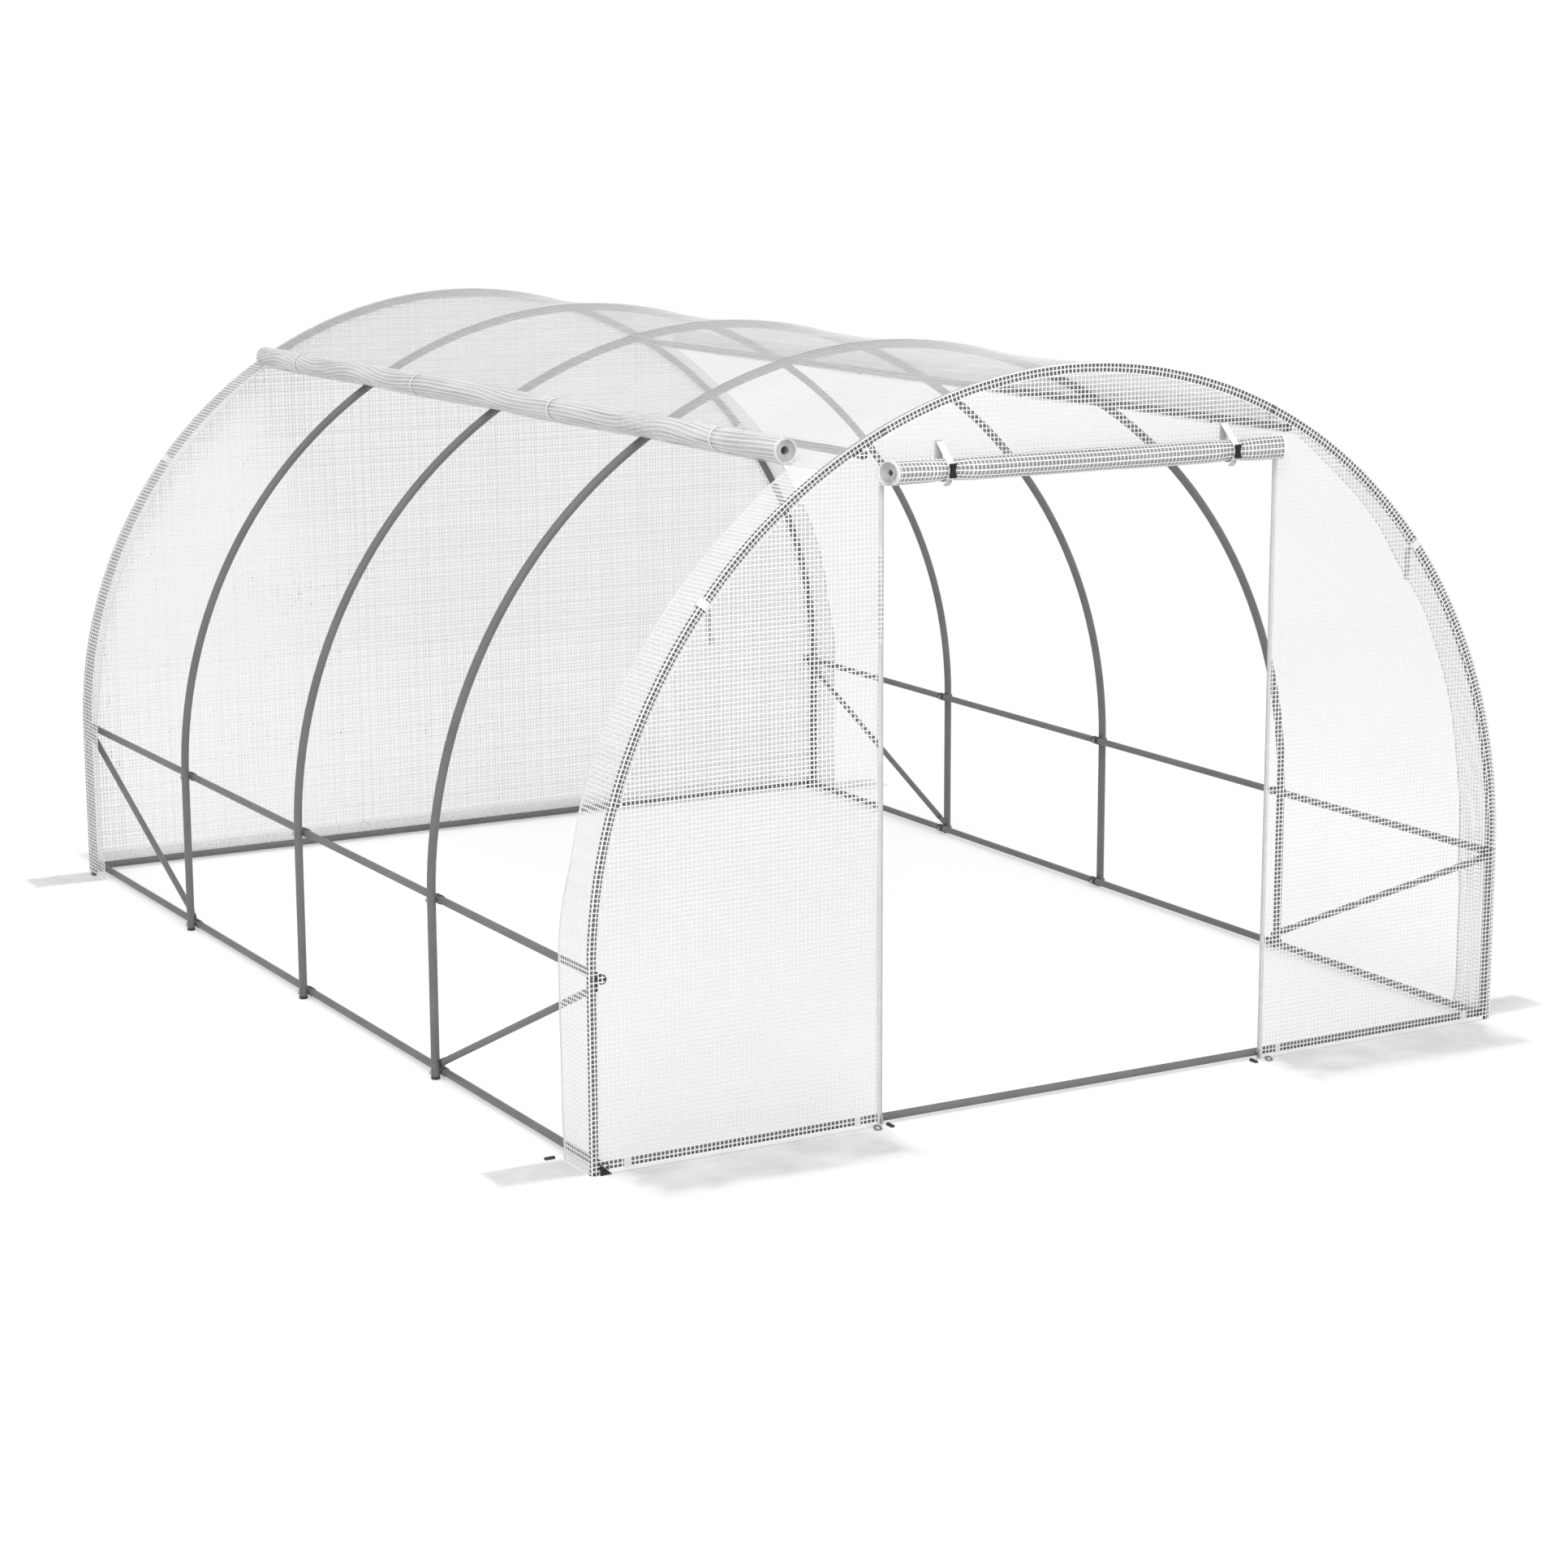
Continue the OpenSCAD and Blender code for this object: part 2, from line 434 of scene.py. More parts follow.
# A greyer copy of the same webbing: painted shade on the straps' inner lengths behind the roll and
# on the loose tails under the roll and inside the door.
SHADED_WEBBING = WovenFinish(
    "shaded_polyester_webbing", "#bcbcbc", "#cecece", roughness=0.7, patch=0.03
)
# Zip tape: densely woven polyester, light grey beside the white film.
ZIP_TAPE = WovenFinish("woven_zip_tape", "#d6d6d6", "#e2e2e2", roughness=0.75, patch=0.03)
# Zip coil: moulded nylon monofilament in light grey.
ZIP_COIL = Finish(
    "nylon_zip_coil", "#bababa", "#cbcbcb",
    roughness=0.4, patch=0.02, bump_size=2 * MM, bump_depth=0.1 * MM,
)
# Moulded nylon buckles and toggles: near black with a fine spark-eroded grain.
BLACK_NYLON = Finish(
    "moulded_black_nylon", "#060606", "#0c0c0c",
    roughness=0.6, patch=0.01, bump_size=1.2 * MM, bump_depth=0.1 * MM,
)
# Low-density polyethylene saddles and end plugs: dark grey and waxy. On the saddles the dark also
# stands in for the legs' contact shadow: painted shade.
DARK_PLASTIC = Finish(
    "moulded_dark_polyethylene", "#2d2d2d", "#3b3b3b",
    roughness=0.5, patch=0.02, bump_size=2 * MM, bump_depth=0.1 * MM,
)
# Zinc-plated steel bolts: bluish metal, dulled and a little uneven.
ZINC_PLATE = Finish(
    "zinc_plated_steel", "#8d9296", "#b3b8bb",
    roughness=0.36, patch=0.006, bump_size=2 * MM, bump_depth=0.1 * MM, metallic=1.0,
)


@cache
def material_of(finish: Finish) -> bpy.types.Material:
    """The one material made from a finish."""
    return finish.material()


# ------------------------------------------------------------------ where things are


@dataclass(frozen=True)
class Datum:
    """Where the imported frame's tubes and film lie. Angles go up from the horizontal, at
    the top of the legs."""

    # Half the hoop tube's width, the arch's radius at its middle line, the height where
    # the arch starts, and the hoops' places
    hoop_r: float
    arch_r: float
    spring_z: float
    hoop_ys: tuple[float, ...]
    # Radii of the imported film's two faces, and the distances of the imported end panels'
    film_in: float
    film_out: float
    panel_in: float
    panel_out: float
    # Where the end strips stop, where the roof film starts, and half the doorway's width
    strip_y: float
    roof_angle: float
    door_half: float
    # Half the rail tube's width, and where the base, mid and upper rails run
    rail_r: float
    base_z: float
    mid_x: float
    upper_angle: float

    @classmethod
    def from_frame(cls) -> "Datum":
        """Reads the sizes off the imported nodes' boxes.

        Returns:
            The datum.
        """
        low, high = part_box("hoop_arch_1")
        hoop_r = (high.y - low.y) / 2
        arch_r = high.x - hoop_r
        spring_z = low.z
        names = sorted(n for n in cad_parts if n.startswith("hoop_arch_"))
        ys = tuple((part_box(n)[0].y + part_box(n)[1].y) / 2 for n in names)
        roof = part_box("roof_film")
        film_out = roof[1].z - spring_z
        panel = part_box("front_panel_left")
        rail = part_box("mid_rail_right")
        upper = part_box("upper_rail_right")
        rail_r = (rail[1].z - rail[0].z) / 2
        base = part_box("base_rail_right")
        return cls(
            hoop_r=hoop_r,
            arch_r=arch_r,
            spring_z=spring_z,
            hoop_ys=ys,
            film_in=film_out - (panel[1].y - panel[0].y),
            film_out=film_out,
            panel_in=roof[1].y,
            panel_out=-panel[0].y,
            strip_y=-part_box("end_strip_front_left")[1].y,
            roof_angle=math.acos(roof[1].x / film_out),
            door_half=-panel[1].x,
            rail_r=rail_r,
            base_z=(base[0].z + base[1].z) / 2,
            mid_x=rail[1].x - rail_r,
            upper_angle=math.atan2((upper[0].z + upper[1].z) / 2 - spring_z, upper[1].x - rail_r),
        )

    @property
    def film_r(self) -> float:
        """Radius at which the modelled film lies on the hoops, just clear of them."""
        return self.film_in + 0.5 * MM

    @property
    def panel_y(self) -> float:
        """Distance of the modelled end panels from the middle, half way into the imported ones."""
        return self.panel_in + 1.6 * MM

    def tie_ys(self) -> list[float]:
        """Places of the ties round the side rolls, one in the middle of each bay."""
        return [(a + b) / 2 for a, b in zip(self.hoop_ys, self.hoop_ys[1:])]

    def roll_shift(self, side: Side) -> tuple[float, float, float]:
        """How far a side roll is drawn up along the arch, tight under the upper rail.

        Args:
            side: Which roll.

        Returns:
            The shift along X, Y and Z.
        """
        climb = 10 * MM
        sideways, upwards = math.sin(self.roof_angle), math.cos(self.roof_angle)
        return (-side.value * climb * sideways, 0, climb * upwards)


# ------------------------------------------------------------------ noise and surfaces


def eased(share: Array) -> Array:
    """A share from 0 to 1 that starts and stops softly."""
    return share * share * (3 - 2 * share)


def paired(u: Array, v: Array) -> tuple[Array, Array]:
    """Two sets of lengths as float arrays of one shape."""
    return tuple(np.broadcast_arrays(np.asarray(u, float), np.asarray(v, float)))


@dataclass
class SoftNoise:
    """Smooth, repeatable noise over two lengths, between about -1 and 1."""

    seed: int
    cell_u: float
    cell_v: float
    # How many cells there are each way before the noise repeats
    cells: int = 64
    lattice: Array = field(init=False)

    def __post_init__(self) -> None:
        """Draws the lattice of values that the noise runs through."""
        shape = (self.cells, self.cells)
        self.lattice = np.random.default_rng(self.seed).uniform(-1, 1, shape)

    def __call__(self, u: Array, v: Array) -> Array:
        """The noise at each pair of lengths.

        Args:
            u: First length of each point.
            v: Second length of each point.

        Returns:
            One value for each point.
        """
        s, t = np.asarray(u) / self.cell_u, np.asarray(v) / self.cell_v
        i, j = np.floor(s).astype(int), np.floor(t).astype(int)
        f, g = eased(s - i), eased(t - j)
        n = self.cells
        rows = [self.lattice[(i + a) % n, (j + b) % n] for a in (0, 1) for b in (0, 1)]
        low = rows[0] * (1 - g) + rows[1] * g
        high = rows[2] * (1 - g) + rows[3] * g
        return low * (1 - f) + high * f


def flat_relief(u: Array, v: Array) -> Array:
    """No relief at all."""
    return np.zeros(np.broadcast(u, v).shape)


class Surface:
    """A sheet's surface: a point in space for each pair of lengths u and v."""

    probe: float = 0.001
    facing: float = 1.0

    def at(self, u: Array, v: Array) -> Array:
        """The points at each u and v."""
        raise NotImplementedError

    def normal(self, u: Array, v: Array) -> Array:
        """The outward unit normals at each u and v, from small steps either way.

        Args:
            u: First length of each point.
            v: Second length of each point.

        Returns:
            One unit vector for each pair.
        """
        step = self.probe
        along_u = self.at(u + step, v) - self.at(u - step, v)
        along_v = self.at(u, v + step) - self.at(u, v - step)
        out = np.cross(along_u, along_v) * self.facing
        return out / np.linalg.norm(out, axis=-1, keepdims=True)


@dataclass
class ArchSurface(Surface):
    """Film over the hoops. u is the length round the arch from the horizontal, less than
    zero down the straight leg, and v is Y."""

    datum: Datum
    side: Side
    relief: Relief = flat_relief
    # How far the film strays along Y from where it was cut
    sway: Relief = flat_relief

    def __post_init__(self) -> None:
        """Turns the normals outward on the mirrored side too."""
        self.facing = -float(self.side.value)

    def at(self, u: Array, v: Array) -> Array:
        """The points at each u and v.

        Args:
            u: First length of each point.
            v: Second length of each point.

        Returns:
            One point for each pair.
        """
        u, v = paired(u, v)
        angle = np.maximum(u, 0) / self.datum.film_r
        radius = self.datum.film_r + self.relief(u, v)
        x = radius * np.cos(angle) * self.side.value
        z = self.datum.spring_z + radius * np.sin(angle) + np.minimum(u, 0)
        return np.stack([x, v + self.sway(u, v), z], axis=-1)


@dataclass
class PanelSurface(Surface):
    """An end panel. u is X and v is Z."""

    datum: Datum
    end: End
    relief: Relief = flat_relief

    def __post_init__(self) -> None:
        """Turns the normals outward at either end."""
        self.facing = -float(self.end.value)

    def at(self, u: Array, v: Array) -> Array:
        """The points at each u and v.

        Args:
            u: First length of each point.
            v: Second length of each point.

        Returns:
            One point for each pair.
        """
        u, v = paired(u, v)
        y = self.end.value * (self.datum.panel_y + self.relief(u, v))
        return np.stack([u, y, v], axis=-1)


@dataclass
class GroundSurface(Surface):
    """Film lying on the ground. u is the length along its fold and v the length out from
    it, at right angles."""

    corner: Vector
    along: Vector
    outward: Vector
    length: float
    width: float
    relief: Relief = flat_relief
    # How far the loose edges stray from a straight cut, and over what length
    ragged: float = 9 * MM
    tooth: float = 0.11
    seed: int = 3

    def at(self, u: Array, v: Array) -> Array:
        """The points at each u and v.

        Args:
            u: First length of each point.
            v: Second length of each point.

        Returns:
            One point for each pair.
        """
        u, v = paired(u, v)
        edge = SoftNoise(self.seed + 40, self.tooth, self.tooth)
        share = v / self.width
        out = v - self.ragged * share**2 * (0.5 + 0.5 * edge(u + 3, np.zeros_like(u)))
        pull = self.ragged * share * (0.5 + 0.5 * edge(v + 3, v + 5))
        side = u + pull * (1 - 2 * u / self.length)
        flat = (
            np.array(self.corner)
            + side[..., None] * np.array(self.along)
            + out[..., None] * np.array(self.outward)
        )
        flat[..., 2] = self.relief(u, v)
        return flat


@dataclass
class RollSurface(Surface):
    """A sheet wound up round a straight line. u is the length along the roll and v is the
    angle that the winding has turned through, from the hollow core outwards."""

    start: Vector
    axis: Vector
    contact: Vector
    core_r: float
    outer_r: float
    turns: float
    lumps: Relief
    wander: Callable[[Array], Array]
    length: float
    # How far the innermost turn lies back from each end, and the ends' slant toward -Y
    recess: float = 9 * MM
    slant: float = 0.0
    probe: float = 0.002
    facing: float = -1.0

    def at(self, u: Array, v: Array) -> Array:
        """The points at each u and v.

        Args:
            u: First length of each point.
            v: Second length of each point.

        Returns:
            One point for each pair.
        """
        u, v = paired(u, v)
        end = 2 * math.pi * self.turns
        share = np.clip(v / end, 0, 1)
        u = u + self.recess * (1 - share) * (1 - 2 * u / self.length)
        angle = v - end + self.wander(u) * share**4
        radius = self.core_r + (self.outer_r - self.core_r) * share
        radius = radius * (1 + self.lumps(u, angle) * share**2)
        first = np.array(self.contact)
        second = np.cross(np.array(self.axis), first)
        around = np.cos(angle)[..., None] * first + np.sin(angle)[..., None] * second
        made = np.array(self.start) + u[..., None] * np.array(self.axis)
        made = made + radius[..., None] * around
        depth = made[..., 1] - self.start[1]
        made[..., 0] += self.slant * (1 - 2 * u / self.length) * (-depth)
        return made


# ------------------------------------------------------------------ mesh building


def lathe(profile: Sequence[tuple[float, float]], segments: int = 16) -> Shape:
    """Turns a profile round Z into a closed solid.

    Args:
        profile: Radius and height of each point, with a radius of zero at both ends.
        segments: How many sides the solid has.

    Returns:
        The solid's points and faces.
    """
    angles = np.arange(segments) * 2 * math.pi / segments
    points, rings = [], []
    for radius, height in profile:
        first = len(points)
        if radius <= 0:
            points.append((0.0, 0.0, height))
            rings.append([first] * segments)
            continue
        points.extend((radius * math.cos(a), radius * math.sin(a), height) for a in angles)
        rings.append(list(range(first, first + segments)))
    faces = []
    for low, high in zip(rings, rings[1:]):
        for i in range(segments):
            j = (i + 1) % segments
            corners = [low[i], low[j], high[j], high[i]]
            faces.append(tuple(dict.fromkeys(corners)))
    return np.array(points), faces


def prism(outline: Sequence[tuple[float, float]], low: float, high: float) -> Shape:
    """Extrudes an outline along Z into a closed solid.

    Args:
        outline: Its corners in X and Y, anticlockwise.
        low: Height of the bottom.
        high: Height of the top.

    Returns:
        The solid's points and faces.
    """
    n = len(outline)
    points = [(x, y, z) for z in (low, high) for x, y in outline]
    sides = [(i, (i + 1) % n, n + (i + 1) % n, n + i) for i in range(n)]
    ends = [tuple(reversed(range(n))), tuple(range(n, 2 * n))]
    return np.array(points), [*sides, *ends]


def mirrored(edge: Sequence[tuple[float, float]]) -> list[tuple[float, float]]:
    """An outline that is the same on both sides of X = 0.

    Args:
        edge: Its right half, from the foot to the head.

    Returns:
        The whole outline's corners, anticlockwise.
    """
    left = [(-x, y) for x, y in edge]
    return [left[0], *edge, *left[:0:-1]]


def placing(origin: Iterable[float], z_axis: Iterable[float], x_axis: Iterable[float]) -> Array:
    """The matrix that sets a shape down somewhere, turned as asked.

    Args:
        origin: Where the shape's own origin goes.
        z_axis: Which way its Z points.
        x_axis: Roughly which way its X points.

    Returns:
        A 4 by 4 matrix.
    """
    z = np.array(z_axis, float) / np.linalg.norm(np.array(z_axis, float))
    x = np.array(x_axis, float)
    x = x - z * (x @ z)
    x = x / np.linalg.norm(x)
    made = np.eye(4)
    made[:3, 0], made[:3, 1], made[:3, 2] = x, np.cross(z, x), z
    made[:3, 3] = np.array(origin, float)
    return made


class MeshParts:
    """Points and faces gathered until they become one Blender mesh."""

    def __init__(self) -> None:
        """Starts empty."""
        self.points: list[Array] = []
        self.faces: Faces = []
        self.slots: list[int] = []
        self.count = 0

    def add(self, shape: Shape, matrix: Array | None = None, slot: int = 0) -> None:
        """Adds a shape, placed by a matrix.

        Args:
            shape: Its points and faces.
            matrix: Where it goes, or None to leave it where it is.
            slot: Number of the material that it takes.
        """
        points, faces = shape
        if matrix is not None:
            points = points @ matrix[:3, :3].T + matrix[:3, 3]
        self.points.append(points)
        self.faces.extend(tuple(i + self.count for i in face) for face in faces)
        self.slots.extend([slot] * len(faces))
        self.count += len(points)

    def add_grid(self, points: Array, slot: int = 0) -> None:
        """Adds a sheet of quads.

        Args:
            points: Its points, in rows and columns.
            slot: Number of the material that it takes.
        """
        rows, columns = points.shape[:2]
        index = np.arange(rows * columns).reshape(rows, columns)
        quads = np.stack(
            [index[:-1, :-1], index[1:, :-1], index[1:, 1:], index[:-1, 1:]], axis=-1
        )
        self.add((points.reshape(-1, 3), list(map(tuple, quads.reshape(-1, 4)))), slot=slot)

    def add_strand(
        self, surface: Surface, u: Array, v: Array, section: Array, slot: int = 0
    ) -> None:
        """Lays a closed strand of one cross-section along a line on a surface.

        Args:
            surface: What it lies on.
            u: First length of each point along the line.
            v: Second length of each point.
            section: The cross-section's points, sideways and outwards, anticlockwise.
            slot: Number of the material that it takes.
        """
        u, v = paired(u, v)
        self.add_tube(surface.at(u, v), surface.normal(u, v), section, slot)

    def add_tube(self, line: Array, outward: Array, section: Array, slot: int = 0) -> None:
        """Sweeps a cross-section along a line into a closed solid.

        Args:
            line: The line's points.
            outward: At each point, the direction that the section's second number takes.
            section: The cross-section's points, sideways and outwards, anticlockwise.
            slot: Number of the material that it takes.
        """
        along = np.gradient(line, axis=0)
        sideways = np.cross(along, outward)
        sideways /= np.linalg.norm(sideways, axis=-1, keepdims=True)
        rings = (
            line[:, None]
            + sideways[:, None] * section[None, :, :1]
            + outward[:, None] * section[None, :, 1:]
        )
        n, k = rings.shape[:2]
        index = np.arange(n * k).reshape(n, k)
        turned = np.roll(index, -1, axis=1)
        quads = np.stack([index[:-1], index[1:], turned[1:], turned[:-1]], axis=-1)
        faces = list(map(tuple, quads.reshape(-1, 4)))
        faces += [tuple(index[0]), tuple(index[-1][::-1])]
        self.add((rings.reshape(-1, 3), faces), slot=slot)

    def build(
        self, name: str, finishes: Sequence[Finish], smooth: bool = False
    ) -> bpy.types.Object:
        """Makes the object.

        Args:
            name: Its name.
            finishes: Its finishes, in the order of the faces' slot numbers.
            smooth: Whether it is shaded smooth.

        Returns:
            The new object, in the scene.
        """
        mesh = bpy.data.meshes.new(name)
        mesh.from_pydata(np.concatenate(self.points).tolist(), [], self.faces)
        for finish in finishes:
            mesh.materials.append(material_of(finish))
        mesh.polygons.foreach_set("material_index", self.slots)
        mesh.polygons.foreach_set("use_smooth", [smooth] * len(self.faces))
        mesh.update()
        return add_object(name, mesh)


def hand_over(
    piece: bpy.types.Object, replaces: Sequence[str] = ()
) -> bpy.types.Object:
    """Ties a finished piece to the frame and reports it.

    Args:
        piece: The piece, in place.
        replaces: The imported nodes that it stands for.

    Returns:
        The same piece.
    """
    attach(piece, BODY)
    if replaces:
        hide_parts(*replaces)
    log.info("%s: %d faces", piece.name, len(piece.data.polygons))
    return piece


def lay_film(name: str, points: Array, finish: Finish, node: str) -> bpy.types.Object:
    """Builds a sheet of film from one grid of points and hands it over.

    Args:
        name: What the piece's name starts with.
        points: Its points, in rows and columns.
        finish: Its finish.
        node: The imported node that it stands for.

    Returns:
        The film.
    """
    sheet = MeshParts()
    sheet.add_grid(points)
    film = sheet.build(f"{name}_sheet", [finish], smooth=True)
    return hand_over(film, [node])


# ------------------------------------------------------------------ scrim and hems


@dataclass(frozen=True)
class Scrim:
    """The grid of white tape in the film."""

    pitch: float = 12.5 * MM
    width: float = 3.9 * MM
    # Height of the tape's flat face over the film, below zero inside, and of its ridge
    base: float = -0.35 * MM
    rise: float = 0.8 * MM
    # How far one tape's width strays from the next one's, as a share
    slub: float = 0.12
    # How far a tape strays from its place, as a share of the pitch
    stray: float = 0.04

    def section(self, line: float = 0.0) -> Array:
        """The cross-section of the tape that lies at a place, each a little its own.

        Args:
            line: Where the tape lies.

        Returns:
            Its three corners, sideways and outwards.
        """
        # Two primes, far from any multiple of the pitch, scramble the place into a width
        own = math.sin(line * 7919.0) + math.sin(line * 2477.0 + 1.0)
        half = self.width / 2 * (1 + self.slub * own / 2)
        return np.array([(-half, self.base), (half, self.base), (0, self.base + self.rise)])

    def lines(self, low: float, high: float) -> Array:
        """Places of the tapes between two lengths, none within a quarter pitch of them.

        Args:
            low: Where the film starts.
            high: Where it stops.

        Returns:
            One place for each tape.
        """
        first = math.ceil(low / self.pitch + 0.25)
        last = math.floor(high / self.pitch - 0.25)
        count = np.arange(first, last + 1)
        # A slow beat carries a few tapes one way and the next few the other
        strays = self.stray * np.sin(count * 2.4) * np.cos(count * 0.37)
        return (count + strays) * self.pitch


def strip_section(width: float, thickness: float, base: float = 0.0) -> Array:
    """The cross-section of a flat strip centred on its line.

    Args:
        width: Its width.
        thickness: Its thickness.
        base: Height of its lower face.

    Returns:
        Its four corners, sideways and outwards.
    """
    half, top = width / 2, base + thickness
    return np.array([(-half, base), (half, base), (half, top), (-half, top)])


def stations(low: float, high: float, step: float) -> Array:
    """Evenly spaced places from one length to another, about a step apart."""
    return np.linspace(low, high, max(2, round(abs(high - low) / step) + 1))


SCRIM = Scrim()
# The roof's tape is fine and sits low in its film
ROOF_SCRIM = Scrim(width=1.6 * MM, base=-0.3 * MM, rise=0.4 * MM, slub=0.4, stray=0.15)
# The rear panel's tape is wide and uneven, with the slubs of linen
REAR_SCRIM = Scrim(width=4.2 * MM, slub=0.5, stray=0.22)
# The right and top panels at the door, and the margins over the hoops, have narrower tape
NARROW_SCRIM = Scrim(width=3.2 * MM, base=-0.3 * MM, rise=0.5 * MM)
# Distance between the points along a tape that runs over a flat panel
STEP = 0.06
# Thickness of a hem of folded and welded film
HEM_T = 1.2 * MM


# ------------------------------------------------------------------ studio


@dataclass
class Studio:
    """A plain white studio: camera, pale floor, even sky and one soft key light."""

    # The camera's place, its angles in degrees, and its lens in millimetres
    place: tuple[float, float, float] = (-5.1768, -9.4915, 2.7408)
    azimuth: float = -29.603
    elevation: float = 11.622
    roll: float = -0.188
    lens: float = 77.72
    sky: float = 0.86
    key_place: tuple[float, float, float] = (-3.0, -7.5, 8.0)
    key_power: float = 330.0
    key_size: float = 5.0
    floor_size: float = 80.0
    # How much light of its own lifts the floor to white, short of the shadow
    floor_lift: float = 0.34
    # Distances from the middle between which the floor turns plain white
    fade_from: float = 3.2
    fade_to: float = 7.0

    def add_camera(self) -> None:
        """Adds the camera and looks through it."""
        a, e, r = (math.radians(x) for x in (self.azimuth, self.elevation, self.roll))
        back = Vector((math.sin(a) * math.cos(e), -math.cos(a) * math.cos(e), math.sin(e)))
        right = (-back).cross(Vector((0, 0, 1))).normalized()
        up = right.cross(-back)
        level_x = math.cos(r) * right + math.sin(r) * up
        level_y = math.cos(r) * up - math.sin(r) * right
        data = bpy.data.cameras.new("studio_camera")
        data.lens, data.sensor_width = self.lens, 36.0
        data.clip_start, data.clip_end = 0.1, 200.0
        camera = add_object("studio_camera", data)
        turn = Matrix((level_x, level_y, back)).transposed().to_4x4()
        camera.matrix_world = Matrix.Translation(self.place) @ turn
        bpy.context.scene.camera = camera

    def seen_rays(self, tree: bpy.types.NodeTree) -> bpy.types.NodeSocket:
        """Adds a factor that is 1 for rays that show the background itself.

        Args:
            tree: The node tree to add to.

        Returns:
            The factor's socket.
        """
        path = add_node(tree, "ShaderNodeLightPath")
        camera, glossy, through = (
            path.outputs[f"Is {kind} Ray"] for kind in ("Camera", "Glossy", "Transmission")
        )
        return add_math(tree, "MAXIMUM", camera, add_math(tree, "MAXIMUM", glossy, through))

    def add_sky(self) -> None:
        """Adds the even sky, white where it is seen."""
        world = bpy.data.worlds.new("studio_sky")
        bpy.context.scene.world = world
        tree = empty_tree(world)
        white = linear("#ffffff")
        light = add_node(tree, "ShaderNodeBackground", {"Color": white, "Strength": self.sky})
        seen = add_node(tree, "ShaderNodeBackground", {"Color": white, "Strength": 1.0})
        mixed = add_node(
            tree,
            "ShaderNodeMixShader",
            {0: self.seen_rays(tree), 1: light.outputs[0], 2: seen.outputs[0]},
        )
        add_node(tree, "ShaderNodeOutputWorld", {"Surface": mixed.outputs[0]})

    def add_floor(self) -> None:
        """Adds the pale floor, which reads white but keeps the object's soft shadow."""
        half = self.floor_size / 2
        corners = [(-half, -half, 0), (half, -half, 0), (half, half, 0), (-half, half, 0)]
        mesh = bpy.data.meshes.new("studio_floor")
        mesh.from_pydata(corners, [], [(0, 1, 2, 3)])
        floor = add_object("studio_floor", mesh)
        paint = bpy.data.materials.new("studio_floor_paint")
        tree = empty_tree(paint)
        matt = add_node(tree, "ShaderNodeBsdfDiffuse", {"Color": linear("#e7e7e7")})
        lift = add_math(tree, "MULTIPLY", self.seen_rays(tree), self.floor_lift)
        white = linear("#ffffff")
        glow = add_node(tree, "ShaderNodeEmission", {"Color": white, "Strength": lift})
        near = add_node(tree, "ShaderNodeAddShader", {0: matt.outputs[0], 1: glow.outputs[0]})
        far = add_node(tree, "ShaderNodeEmission", {"Color": white, "Strength": 1.0})
        spot = add_node(tree, "ShaderNodeTexCoord").outputs["Object"]
        away = add_node(tree, "ShaderNodeVectorMath", {0: spot}, operation="LENGTH")
        reach = add_node(
            tree,
            "ShaderNodeMapRange",
            {
                "Value": away.outputs["Value"],
                "From Min": self.fade_from,
                "From Max": self.fade_to,
            },
        )
        share = add_math(tree, "MULTIPLY", reach.outputs["Result"], self.seen_rays(tree))
        both = add_node(
            tree, "ShaderNodeMixShader", {0: share, 1: near.outputs[0], 2: far.outputs[0]}
        )
        add_node(tree, "ShaderNodeOutputMaterial", {"Surface": both.outputs[0]})
        mesh.materials.append(paint)

    def add_key(self) -> None:
        """Adds the soft key light, high on the door end's left."""
        data = bpy.data.lights.new("studio_key", "AREA")
        data.shape, data.size, data.energy = "DISK", self.key_size, self.key_power
        key = add_object("studio_key", data)
        key.location = self.key_place
        key.rotation_euler = (-Vector(key.location)).to_track_quat("-Z", "Y").to_euler()

    def build(self) -> None:
        """Adds everything and picks the plain view transform."""
        self.add_camera()
        self.add_sky()
        self.add_floor()
        self.add_key()
        bpy.context.scene.view_settings.view_transform = "Standard"


# ------------------------------------------------------------------ steel frame


